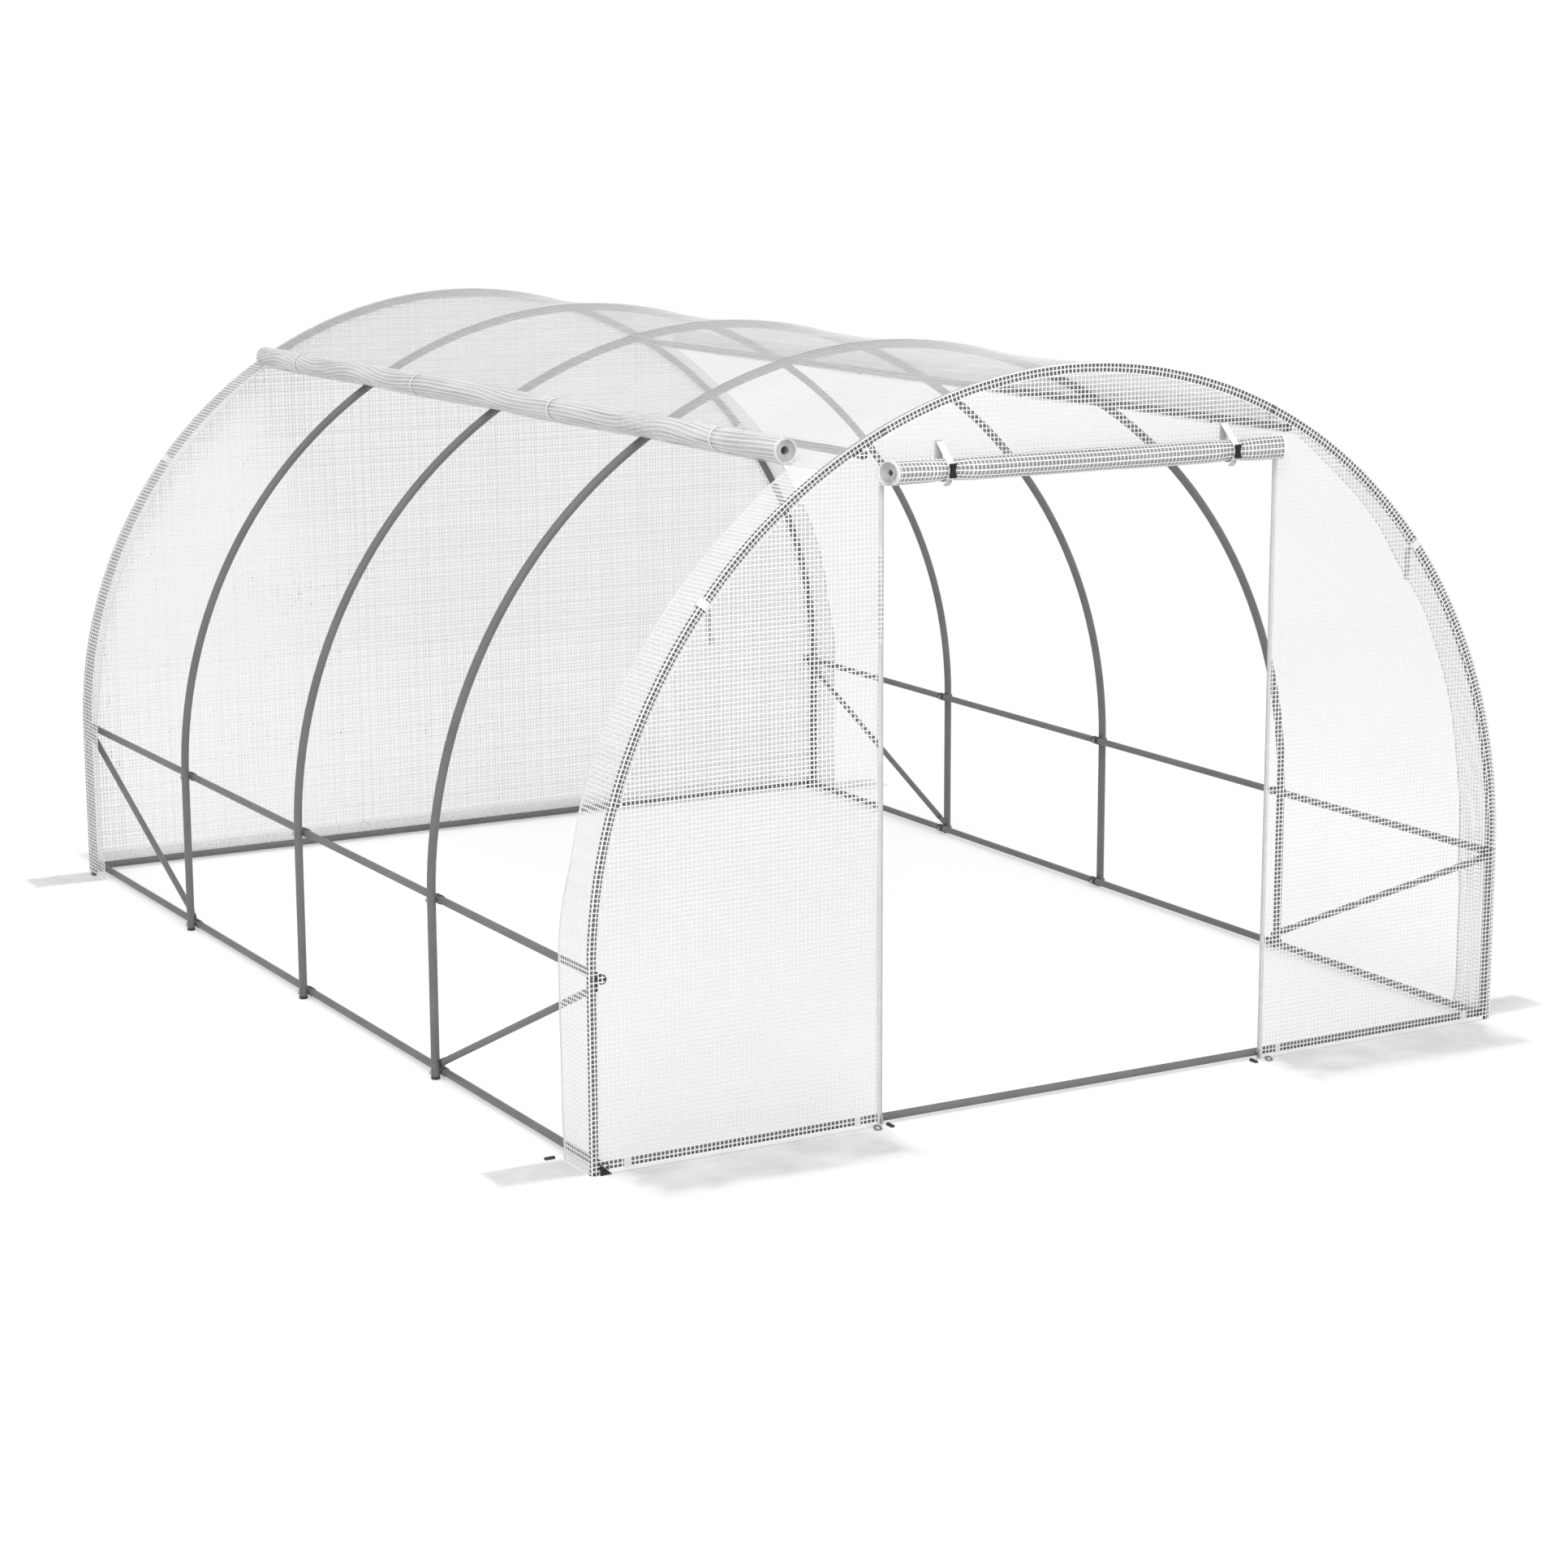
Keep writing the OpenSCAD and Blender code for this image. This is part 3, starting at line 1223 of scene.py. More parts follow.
@dataclass
class SteelFrame:
    """The hoops, rails and braces, with the small fittings that join them."""

    datum: Datum
    bolt_r: float = 6 * MM
    bolt_h: float = 4 * MM
    washer_r: float = 8 * MM
    washer_t: float = 1 * MM
    plug_h: float = 1.2 * MM
    plug_sink: float = 0.5 * MM
    # A saddle's wall, its length either side of the hoop, and its open side in degrees
    saddle_t: float = 2.4 * MM
    saddle_half: float = 15 * MM
    saddle_open: tuple[float, float] = (68, 292)
    cap_h: float = 9 * MM
    gusset: float = 34 * MM
    gusset_t: float = 3 * MM

    def coat_tubes(self) -> None:
        """Gives every steel node its powder coat."""
        coat = material_of(POWDER_COAT)
        tubes = ("hoop_arch", "hoop_legs", "base_rail", "mid_rail", "upper_rail", "brace")
        for name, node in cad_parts.items():
            if name.startswith(tubes):
                node.data.materials.clear()
                node.data.materials.append(coat)
                log.info("%s: powder coated", name)

    def hex_bolt(self) -> Shape:
        """A hexagon head with chamfered corners, closed."""
        r, h = self.bolt_r, self.bolt_h
        return lathe([(0, 0), (r, 0), (r, h * 0.7), (r * 0.82, h), (0, h)], segments=6)

    def washer(self) -> Shape:
        """The thin washer under a head."""
        r, t = self.washer_r, self.washer_t
        return lathe([(0, 0), (r, 0), (r, 0.8 * t), (r * 0.9, t), (0, t)])

    def add_bolt(self, parts: MeshParts, foot: Array, outward: Array) -> None:
        """Adds one washer and head.

        Args:
            parts: Where it is gathered.
            foot: Point of the tube's skin that it sits on.
            outward: Direction away from the tube.
        """
        matrix = placing(foot, outward, (0, 1, 0))
        parts.add(self.washer(), matrix)
        raised = matrix.copy()
        raised[:3, 3] += raised[:3, 2] * 0.9 * self.washer_t
        parts.add(self.hex_bolt(), raised)

    def build_bolts(self) -> None:
        """Bolts at each crossing: heads outside the bare hoops, nuts inside the rails."""
        d = self.datum
        parts = MeshParts()
        last = len(d.hoop_ys) - 1
        for side in Side:
            s = side.value
            for i, y in enumerate(d.hoop_ys):
                for z in (d.base_z, d.spring_z):
                    nut = np.array([s * (d.mid_x - d.rail_r), y, z])
                    self.add_bolt(parts, nut, np.array([-s, 0, 0]))
                    if 0 < i < last:
                        head = np.array([s * (d.arch_r + d.hoop_r), y, z])
                        self.add_bolt(parts, head, np.array([s, 0, 0]))
                inward = -np.array([s * math.cos(d.upper_angle), 0, math.sin(d.upper_angle)])
                foot = -inward * (d.mid_x - d.rail_r) + np.array([0, y, d.spring_z])
                self.add_bolt(parts, foot, inward)
        hand_over(parts.build("frame_bolts", [ZINC_PLATE]))

    def build_plugs(self) -> None:
        """Domed plugs with a sunk middle in the ends of the long rails."""
        d = self.datum
        parts = MeshParts()
        r = d.rail_r
        profile = [(0, 0), (r, 0), (r, self.plug_h / 2), (r * 0.85, self.plug_h)]
        profile += [(r * 0.55, self.plug_h), (r * 0.45, self.plug_sink), (0, self.plug_sink)]
        cos_u, sin_u = math.cos(d.upper_angle), math.sin(d.upper_angle)
        spots = [(d.mid_x, d.base_z), (d.mid_x, d.spring_z)]
        spots.append((d.mid_x * cos_u, d.spring_z + d.mid_x * sin_u))
        reach = d.hoop_ys[-1] + d.hoop_r
        for x, z in spots:
            for side in Side:
                for end in End:
                    at = (side.value * x, end.value * reach, z)
                    matrix = placing(at, (0, end.value, 0), (1, 0, 0))
                    parts.add(lathe(profile, segments=24), matrix)
        hand_over(parts.build("rail_end_plugs", [DARK_PLASTIC], smooth=True))

    def build_saddles(self) -> None:
        """Dark plastic saddles that seat each rail against its hoop. Their dark colour is partly
        painted shade, standing in for the contact shadow of the leg on the rail.
        """
        d = self.datum
        parts = MeshParts()
        turn = np.radians(np.linspace(*self.saddle_open, 15))
        inner_r, outer_r = d.rail_r + 0.1 * MM, d.rail_r + self.saddle_t
        outer = [(outer_r * np.cos(t), outer_r * np.sin(t)) for t in turn]
        inner = [(inner_r * np.cos(t), inner_r * np.sin(t)) for t in turn]
        saddle = prism(outer + inner[::-1], -self.saddle_half, self.saddle_half)
        for side in Side:
            for y in d.hoop_ys:
                for z in (d.base_z, d.spring_z):
                    s = side.value
                    parts.add(saddle, placing((s * d.mid_x, y, z), (0, s, 0), (s, 0, 0)))
        hand_over(parts.build("rail_saddles", [DARK_PLASTIC]))

    def build_feet(self) -> None:
        """Caps that close the bottom of each leg, and a dark gusset at each corner."""
        d = self.datum
        parts = MeshParts()
        r, low, edge = d.hoop_r + 0.6 * MM, 0.2 * MM, 1 * MM
        profile = [(0, low), (r - edge, low), (r, low + edge), (r, self.cap_h), (0, self.cap_h)]
        cap = lathe(profile, segments=28)
        outline = [(0, 0), (self.gusset, 0), (0, self.gusset * 0.9)]
        gusset = prism(outline, -self.gusset_t / 2, self.gusset_t / 2)
        inset = 2 * MM
        for side in Side:
            s = side.value
            for y in d.hoop_ys:
                parts.add(cap, placing((s * d.arch_r, y, 0), (0, 0, 1), (1, 0, 0)))
            for end in End:
                # The film is tucked behind the gusset at one corner, and covers the others
                bare = side is Side.LEFT and end is End.DOOR
                face = d.panel_out + inset if bare else d.hoop_ys[-1] - d.hoop_r - inset
                upright = np.eye(4)
                upright[:3, 0], upright[:3, 1], upright[:3, 2] = (-s, 0, 0), (0, 0, 1), (0, s, 0)
                upright[:3, 3] = (s * (d.arch_r - d.hoop_r + inset), end.value * face, 0.5 * MM)
                parts.add(gusset, upright, slot=1)
        hand_over(parts.build("foot_caps", [DARK_PLASTIC, BLACK_NYLON]))

    def build(self) -> None:
        """Dresses the tubes and adds their fittings."""
        self.coat_tubes()
        self.build_bolts()
        self.build_plugs()
        self.build_saddles()
        self.build_feet()


# ------------------------------------------------------------------ cover


@dataclass
class RoofCover:
    """The film over the hoops, which sags a little between them."""

    datum: Datum
    # Sag between two hoops a metre apart, at the crown and at the edges, and its creases
    crown_sag: float = 17 * MM
    edge_sag: float = 5 * MM
    crease: float = 3 * MM
    step: float = 40 * MM
    noise: SoftNoise = field(default_factory=lambda: SoftNoise(11, cell_u=0.22, cell_v=0.3))

    def relief(self, u: Array, v: Array) -> Array:
        """How far the film stands out from the hoops' circle, below zero between them.

        Args:
            u: Lengths round the arch.
            v: Lengths along the tunnel.

        Returns:
            One height for each pair.
        """
        ys = self.datum.hoop_ys
        bay = ys[1] - ys[0]
        share = np.clip((v - ys[0]) / (ys[-1] - ys[0]), 0, 1) * (len(ys) - 1)
        within = share - np.floor(np.minimum(share, len(ys) - 1 - 1e-9))
        dip = 4 * within * (1 - within)
        height = np.sin(np.maximum(u, 0) / self.datum.film_r)
        low = math.sin(self.datum.roof_angle)
        crown = np.clip((height - low) / (1 - low), 0, 1)
        sag = self.edge_sag + (self.crown_sag - self.edge_sag) * crown
        return -(sag + self.crease * self.noise(u, v)) * dip * bay

    def build(self) -> None:
        """Builds the film and its scrim."""
        d = self.datum
        surface = ArchSurface(d, Side.RIGHT, self.relief)
        u0, u1 = d.film_r * d.roof_angle, d.film_r * (math.pi - d.roof_angle)
        v0, v1 = -d.panel_y, d.panel_y
        u, v = stations(u0, u1, self.step), stations(v0, v1, self.step)
        tape_u, tape_v = stations(u0, u1, 2 * self.step), stations(v0, v1, 2 * self.step)
        # The roof's film is milkier than the panels': painted reflection.
        film = lay_film("roof", surface.at(u[:, None], v[None, :]), ROOF_FILM, "roof_film")
        grid = MeshParts()
        for line in ROOF_SCRIM.lines(v0, v1):
            grid.add_strand(surface, tape_u, line, ROOF_SCRIM.section(line))
        for line in ROOF_SCRIM.lines(u0, u1):
            grid.add_strand(surface, line, tape_v, ROOF_SCRIM.section(line))
        # The roof's tape takes the greyer copy: painted shade.
        scrim = hand_over(grid.build("roof_scrim", [ROOF_TAPE]))


@dataclass
class EndStrip:
    """The strip of film that wraps round one side at one end, down to the ground."""

    datum: Datum
    side: Side
    end: End
    # How far the free edge waves in and out, and to and fro along the tunnel
    flutter: float = 8 * MM
    wander: float = 22 * MM
    # Share of the strip's width that is lost at its top
    taper: float = 0.12
    hem: float = 7 * MM
    # Height of the strip's foot over the ground
    foot: float = 2 * MM
    # Lengths over which the flutter dies away below the strip's top and above the ground
    ease_top: float = 0.2
    ease_foot: float = 0.15

    def relief(self, u: Array, v: Array) -> Array:
        """How far the strip stands out: none on the hoop, most at its free edge.

        Args:
            u: Lengths round the arch.
            v: Lengths along the tunnel.

        Returns:
            One height for each pair.
        """
        d = self.datum
        reach = d.hoop_ys[-1] - d.strip_y
        loose = np.clip((d.hoop_ys[-1] - d.hoop_r - np.abs(v)) / reach, 0, 1)
        below = np.clip((self.span()[1] - u) / self.ease_top, 0, 1)
        above = np.clip((u + d.spring_z) / self.ease_foot, 0, 1)
        fixed = below * above
        noise = SoftNoise(31 + 2 * self.side.value + self.end.value, cell_u=0.23, cell_v=0.5)
        return loose**1.5 * fixed * (self.flutter * noise(u + 9, v + 9) - 2 * MM)

    def sway(self, u: Array, v: Array) -> Array:
        """How far the strip's free edge is drawn toward the hoop: most at the top.

        Args:
            u: Lengths round the arch.
            v: Lengths along the tunnel.

        Returns:
            One shift along Y for each pair.
        """
        d = self.datum
        reach = d.hoop_ys[-1] - d.hoop_r - d.strip_y
        loose = np.clip((d.hoop_ys[-1] - d.hoop_r - np.abs(v)) / reach, 0, 1)
        rise = np.clip(u / self.span()[1], 0, 1)
        taper = self.taper * reach * eased(rise)
        noise = SoftNoise(61 + 2 * self.side.value + self.end.value, cell_u=0.16, cell_v=1.0)
        drawn = 0.5 + 0.5 * noise(u + 9, np.zeros_like(u + v))
        return self.end.value * loose * (taper + self.wander * drawn)

    def span(self) -> tuple[float, float]:
        """Lengths round the arch at the strip's foot and at its top."""
        d = self.datum
        return self.foot - d.spring_z, d.film_r * d.roof_angle

    def area(self) -> float:
        """The strip's flat area.

        Returns:
            Square metres.
        """
        d = self.datum
        u = np.linspace(*self.span(), 501)
        edge = np.full_like(u, self.end.value * d.strip_y)
        widths = d.panel_y - d.strip_y - np.abs(self.sway(u, edge))
        return float(np.mean(widths) * (u[-1] - u[0]))

    def build(self) -> None:
        """Builds the strip's film, scrim and hem."""
        d, name = self.datum, self.name()
        surface = ArchSurface(d, self.side, self.relief, self.sway)
        u0, u1 = self.span()
        outer, inner = self.end.value * d.panel_y, self.end.value * d.strip_y
        v0, v1 = min(outer, inner), max(outer, inner)
        u, v = stations(u0, u1, step=0.03), stations(v0, v1, step=0.02)
        film = lay_film(name, surface.at(u[:, None], v[None, :]), LIGHTER_FILM, name)
        grid = MeshParts()
        for line in SCRIM.lines(u0, u1):
            grid.add_strand(surface, line, stations(v0, v1, step=0.05), SCRIM.section(line))
        for line in SCRIM.lines(v0, v1):
            grid.add_strand(surface, stations(u0, u1, STEP), line, SCRIM.section(line))
        hem_line = inner + self.end.value * self.hem / 2
        flat = strip_section(self.hem, HEM_T)
        grid.add_strand(surface, stations(u0, u1, step=0.04), hem_line, flat, slot=1)
        scrim = hand_over(grid.build(f"{name}_scrim", [SCRIM_TAPE, ROOF_TAPE]))
        self.area()

    def name(self) -> str:
        """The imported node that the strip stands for."""
        where = "front" if self.end is End.DOOR else "rear"
        return f"end_strip_{where}_{self.side.name.lower()}"


@dataclass
class EndPanel:
    """A flat piece of film across one end, cut to the arch between two upright lines."""

    datum: Datum
    name: str
    end: End
    left: float
    right: float
    bottom: float = 2 * MM
    billow: float = 5 * MM
    seed: int = 5
    film: Finish = CLEAR_FILM
    scrim: Scrim = SCRIM
    # Width of the margin over the hoop, whose tapes follow the arch, and those that cross it
    margin: float = 27 * MM
    ticks: Scrim = NARROW_SCRIM
    # Lengths over which the billow dies away beside the hoop and above the base rail
    ease_hoop: float = 0.25
    ease_rail: float = 0.15
    # Size of the fold patches that tack the skirt to the panel, and their place from its ends
    tack_w: float = 18 * MM
    tack_h: float = 34 * MM
    tack_in: float = 75 * MM

    def top(self, x: Array) -> Array:
        """Height of the arch over each x."""
        r = self.datum.film_r
        return self.datum.spring_z + np.sqrt(np.maximum(r * r - np.square(x), 0))

    def relief(self, u: Array, v: Array) -> Array:
        """How far the film billows, none where it lies on a tube.

        Args:
            u: X of each point.
            v: Z of each point.

        Returns:
            One height for each point.
        """
        d = self.datum
        radius = np.where(v > d.spring_z, np.hypot(u, v - d.spring_z), np.abs(u))
        off_hoop = np.clip((d.arch_r - d.hoop_r - radius) / self.ease_hoop, 0, 1)
        off_rail = np.clip((v - 2 * d.base_z) / self.ease_rail, 0, 1)
        noise = SoftNoise(self.seed, cell_u=0.35, cell_v=0.28)
        return self.billow * noise(u + 7, v + 7) * off_hoop * off_rail

    def area(self) -> float:
        """The panel's flat area."""
        x = np.linspace(self.left, self.right, 2001)
        return float(np.mean(self.top(x) - self.bottom) * (self.right - self.left))

    def outline_points(self, inset: float) -> tuple[Array, Array]:
        """The arched part of the panel's edge.

        Args:
            inset: How far inside the film's circle the line runs.

        Returns:
            X and Z of its points, from left to right.
        """
        r = self.datum.film_r - inset
        a0 = math.acos(max(-1, min(1, self.right / r)))
        a1 = math.acos(max(-1, min(1, self.left / r)))
        angles = np.linspace(a1, a0, max(12, round((a1 - a0) / math.radians(2))))
        x, z = r * np.cos(angles), self.datum.spring_z + r * np.sin(angles)
        legs = np.linspace(self.bottom, self.datum.spring_z, 8)[:-1]
        if self.left <= -r:
            x, z = np.r_[np.full_like(legs, -r), x], np.r_[legs, z]
        if self.right >= r:
            x, z = np.r_[x, np.full_like(legs, r)], np.r_[z, legs[::-1]]
        return x, z

    def film_points(self, surface: Surface) -> Array:
        """The sheet's points: upright columns, closer together where the arch is steep.

        Args:
            surface: The panel's surface.

        Returns:
            The points, in columns from left to right.
        """
        r = self.datum.film_r
        a0, a1 = math.acos(max(-1, self.left / r)), math.acos(min(1, self.right / r))
        columns, rows = max(10, round((self.right - self.left) / 0.025)), 72
        x = r * np.cos(np.linspace(a0, a1, columns))
        share = np.linspace(0, 1, rows)
        z = self.bottom + (self.top(x)[:, None] - self.bottom) * share[None, :]
        return surface.at(x[:, None], z)

    def span(self, z: float, inset: float = 0.0) -> tuple[float, float]:
        """Left and right ends of a level line across the panel.

        Args:
            z: The line's height.
            inset: How far inside the film's circle it stops.

        Returns:
            X of its two ends.
        """
        r, up = self.datum.film_r - inset, max(z - self.datum.spring_z, 0)
        half = math.sqrt(max(r * r - up * up, 0))
        return max(self.left, -half), min(self.right, half)

    def add_field(self, grid: MeshParts, surface: Surface) -> None:
        """Adds the upright and level tapes, up to the margin over the hoop.

        Args:
            grid: Where they are gathered.
            surface: The panel's surface.
        """
        inner = self.datum.film_r - self.margin
        for x in self.scrim.lines(max(self.left, -inner), min(self.right, inner)):
            z1 = self.datum.spring_z + math.sqrt(inner * inner - x * x)
            if z1 - self.bottom > SCRIM.pitch:
                up = stations(self.bottom, z1, STEP)
                grid.add_strand(surface, x, up, self.scrim.section(x))
        for z in self.scrim.lines(self.bottom, self.datum.spring_z + inner):
            x0, x1 = self.span(z, self.margin)
            if x1 - x0 > SCRIM.pitch:
                grid.add_strand(surface, stations(x0, x1, STEP), z, self.scrim.section(z))

    def add_margin(self, grid: MeshParts, surface: Surface) -> None:
        """Adds the tapes of the margin, which follow the arch and cross it.

        Args:
            grid: Where they are gathered.
            surface: The panel's surface.
        """
        for inset in (self.margin / 2, self.margin):
            x, z = self.outline_points(inset)
            grid.add_strand(surface, x, z, NARROW_SCRIM.section(inset))
        d = self.datum
        reach = np.array([d.film_r - self.margin, d.film_r])
        ticks = []
        for side in Side:
            for z in SCRIM.lines(self.bottom, d.spring_z):
                ticks.append((side.value * reach, np.full(2, z), NARROW_SCRIM.section(z)))
        for arc in SCRIM.lines(0, math.pi * d.film_r):
            x, z = reach * math.cos(arc / d.film_r), reach * math.sin(arc / d.film_r)
            ticks.append((x, d.spring_z + z, self.ticks.section(arc)))
        for x, z, section in ticks:
            if self.left <= x.min() and x.max() <= self.right:
                grid.add_strand(surface, x, z, section)

    def build(self, rests_on: Sequence[str]) -> None:
        """Builds the panel's film, scrim and hems.

        Args:
            rests_on: The nodes that the panel is stretched over; not used.
        """
        surface = PanelSurface(self.datum, self.end, self.relief)
        film = lay_film(self.name, self.film_points(surface), self.film, self.name)
        grid = MeshParts()
        self.add_field(grid, surface)
        self.add_margin(grid, surface)
        self.add_hems(grid, surface)
        scrim = grid.build(f"{self.name}_scrim", [SCRIM_TAPE, HEM_TAPE, ROOF_TAPE])
        hand_over(scrim)
        self.area()

    def add_hems(self, grid: MeshParts, surface: Surface) -> None:
        """Adds the welded hems round the panel.

        Args:
            grid: Where they are gathered.
            surface: The panel's surface.
        """
        seam = strip_section(4 * MM, 1.4 * MM)
        x, z = self.outline_points(1 * MM)
        grid.add_strand(surface, x, z, seam, slot=1)
        x0, x1 = self.span(self.bottom, self.margin)
        if self.bottom < self.datum.base_z:
            hem = strip_section(9 * MM, HEM_T)
            across = stations(x0, x1, STEP)
            level = np.full_like(across, self.bottom + 5 * MM)
            grid.add_strand(surface, across, level, hem, slot=1)
        if self.bottom < self.datum.base_z and self.end is End.DOOR:
            fold = strip_section(self.tack_w, 1 * MM)
            up = np.linspace(self.bottom, self.bottom + self.tack_h, 3)
            for x in (x0 + self.tack_in, x1 - self.tack_in):
                grid.add_strand(surface, x, up, fold, slot=2)


@dataclass
class GroundFlap:
    """A skirt of film that lies on the ground outside a panel or a strip."""

    name: str
    # One end of the fold at the wall, the way along the fold, and the way out from it
    corner: tuple[float, float]
    along: tuple[float, float]
    outward: tuple[float, float]
    length: float
    width: float
    # Height of its waves, and the distance from the wall at which they are full
    wave: float = 6 * MM
    ease: float = 0.12
    # Share of the width over which its colour pales toward the loose edges: painted highlight
    fade: float = 0.3
    seed: int = 3

    def relief(self, u: Array, v: Array) -> Array:
        """Height of the film above the ground: a soft fold, then loose waves.

        Args:
            u: Lengths along the fold.
            v: Lengths out from it.

        Returns:
            One height for each pair.
        """
        noise = SoftNoise(self.seed, cell_u=0.21, cell_v=0.17)
        fine = SoftNoise(self.seed + 9, cell_u=0.06, cell_v=0.08)
        loose = np.clip(v / self.ease, 0, 1)
        bumps = 0.5 + 0.5 * noise(u + 5, v + 5) + 0.2 * fine(u + 5, v + 5)
        return 1.5 * MM + loose * self.wave * np.clip(bumps, 0, 2)

    def rim(self, u: Array, v: Array) -> Array:
        """How far each point belongs to the pale rim's painted highlight: 1 at the loose edges, 0
        inside.

        Args:
            u: Lengths along the fold.
            v: Lengths out from it.

        Returns:
            One share for each pair.
        """
        ragged = SoftNoise(self.seed + 60, cell_u=0.07, cell_v=0.06)
        reach = self.width * self.fade * (1 + 0.55 * ragged(u + 3, v + 3))
        gap = np.minimum(np.minimum(u, self.length - u), self.width - v)
        return eased(np.clip(1 - gap / reach, 0, 1))

    def build(self, start: str, node: str) -> None:
        """Builds the flap's film.

        Args:
            start: What the piece's name starts with.
            node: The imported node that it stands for.
        """
        surface = GroundSurface(
            corner=Vector((*self.corner, 0)),
            along=Vector((*self.along, 0)),
            outward=Vector((*self.outward, 0)),
            length=self.length,
            width=self.width,
            relief=self.relief,
            seed=self.seed,
        )
        u, v = stations(0, self.length, step=0.02), stations(0, self.width, step=0.015)
        u, v = u[:, None], v[None, :]
        film = lay_film(f"{start}_{self.name}", surface.at(u, v), GROUND_FILM, node)
        # The rim attribute masks the painted highlight at the loose edges.
        rim = film.data.attributes.new(RIM, "FLOAT", "POINT")
        rim.data.foreach_set("value", self.rim(u, v).ravel())


# ------------------------------------------------------------------ rolled walls


@dataclass
class RolledSheet:
    """A wall or door rolled up into a long soft roll, open down its middle."""

    name: str
    node: str
    axis: tuple[int, int, int]
    contact: tuple[float, float, float]
    film: Finish
    tape: Finish
    flat_height: float
    core_r: float = 12 * MM
    turns: int = 13
    # Points round each turn, and the distance between the rings of points along the roll
    per_turn: int = 24
    step: float = 45 * MM
    # How uneven the radius is, as a share, and how far the free edge winds to and fro
    lump: float = 0.05
    drift: float = 0.9
    rim: float = 7 * MM
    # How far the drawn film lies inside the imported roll's skin
    inset: float = 1.2 * MM
    # How many of the outer turns show the white hem at the ends, the inner turns being painted
    # with the shade they lie in
    pale_turns: float = 2.6
    slant: float = 0.0
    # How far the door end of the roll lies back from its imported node's end
    trim: float = 0.0
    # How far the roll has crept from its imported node's middle
    shift: tuple[float, float, float] = (0.0, 0.0, 0.0)
    # How far it bulges between its ties, the ties' places along its axis, and their reach
    swell: float = 0.0
    ties: tuple[float, ...] = ()
    tie_reach: float = 45 * MM
    seed: int = 21

    def surface(self) -> RollSurface:
        """The winding that the sheet lies in.

        Returns:
            The winding.
        """
        low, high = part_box(self.node)
        axis = Vector(self.axis)
        middle = (low + high) / 2
        start = middle - axis * ((high - low).dot(axis) / 2 - self.trim) + Vector(self.shift)
        across = next(i for i in range(3) if self.axis[i] == 0)
        outer = (high - low)[across] / 2
        lumps = SoftNoise(self.seed, cell_u=0.17, cell_v=0.9)
        coarse = SoftNoise(self.seed + 3, cell_u=0.6, cell_v=1.6)
        drift = SoftNoise(self.seed + 7, cell_u=0.32, cell_v=1)

        def uneven(u: Array, v: Array) -> Array:
            """The radius's share of lumps, and its bulge on the side away from the film.

            Args:
                u: Lengths along the roll.
                v: Angles round it.

            Returns:
                One share of the radius for each pair.
            """
            drawn = np.ones_like(u)
            for tie in self.ties:
                drawn = drawn - np.exp(-np.square((u + start.dot(axis) - tie) / self.tie_reach))
            bulge = self.swell / outer * np.clip(drawn, 0, 1) * (0.5 - 0.5 * np.cos(v))
            rough = 0.6 * lumps(u, v + 20) + 0.6 * coarse(u, v + 20) - 0.3
            return bulge + self.lump * rough

        return RollSurface(
            start=start,
            axis=axis,
            contact=Vector(self.contact).normalized(),
            core_r=self.core_r,
            outer_r=outer - self.inset,
            turns=self.turns,
            lumps=uneven,
            wander=lambda u: self.drift * drift(u, np.zeros_like(u)),
            length=self.length(),
            slant=self.slant,
        )

    def length(self) -> float:
        """Length of the roll."""
        low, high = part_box(self.node)
        return (high - low).dot(Vector(self.axis)) - self.trim

    def build(self) -> None:
        """Builds the wound film, the tapes on its outer turn and its hemmed rims."""
        surface, length = self.surface(), self.length()
        end = 2 * math.pi * self.turns
        v = np.linspace(0, end, self.turns * self.per_turn + 1)
        u = np.r_[0, self.rim, stations(2 * self.rim, length - 2 * self.rim, self.step)]
        u = np.r_[u, length - self.rim, length]
        sheet = MeshParts()
        sheet.add_grid(surface.at(u[1:-1, None], v[None, :]))
        sheet.add_grid(surface.at(u[:2, None], v[None, :]), slot=1)
        sheet.add_grid(surface.at(u[-2:, None], v[None, :]), slot=1)
        film = sheet.build(f"{self.name}_sheet", [self.film, HEM_TAPE], smooth=True)
        hand_over(film, [self.node])
        grid = MeshParts()
        wound = strip_section(self.rim, 1.25 * MM, -0.6 * MM)
        inner = v < end - self.pale_turns * 2 * math.pi
        rims = (self.rim / 2, length - self.rim / 2)
        for line in rims:
            # The inner turns' hem is painted with the shade that they lie in.
            grid.add_strand(surface, line, v[inner], wound, slot=2)
            grid.add_strand(surface, line, v[~inner], wound, slot=1)
        last = end - 2 * math.pi
        turn_step = SCRIM.pitch / surface.outer_r
        for angle in np.arange(last + turn_step / 2, end - turn_step / 4, turn_step):
            grid.add_strand(surface, u[1:-1], angle, SCRIM.section())
        around = np.linspace(last, end, self.per_turn + 1)
        for line in SCRIM.lines(self.rim, length - self.rim):
            grid.add_strand(surface, line, around, SCRIM.section())
        flat = strip_section(self.rim, 0.9 * MM)
        for line in rims:
            grid.add_strand(surface, line, around, flat, slot=1)
        scrim = grid.build(f"{self.name}_scrim", [self.tape, HEM_TAPE, INNER_HEM])
        hand_over(scrim)


# ------------------------------------------------------------------ straps and ties


# Thickness of every strap and tie
STRAP_T = 1.4 * MM


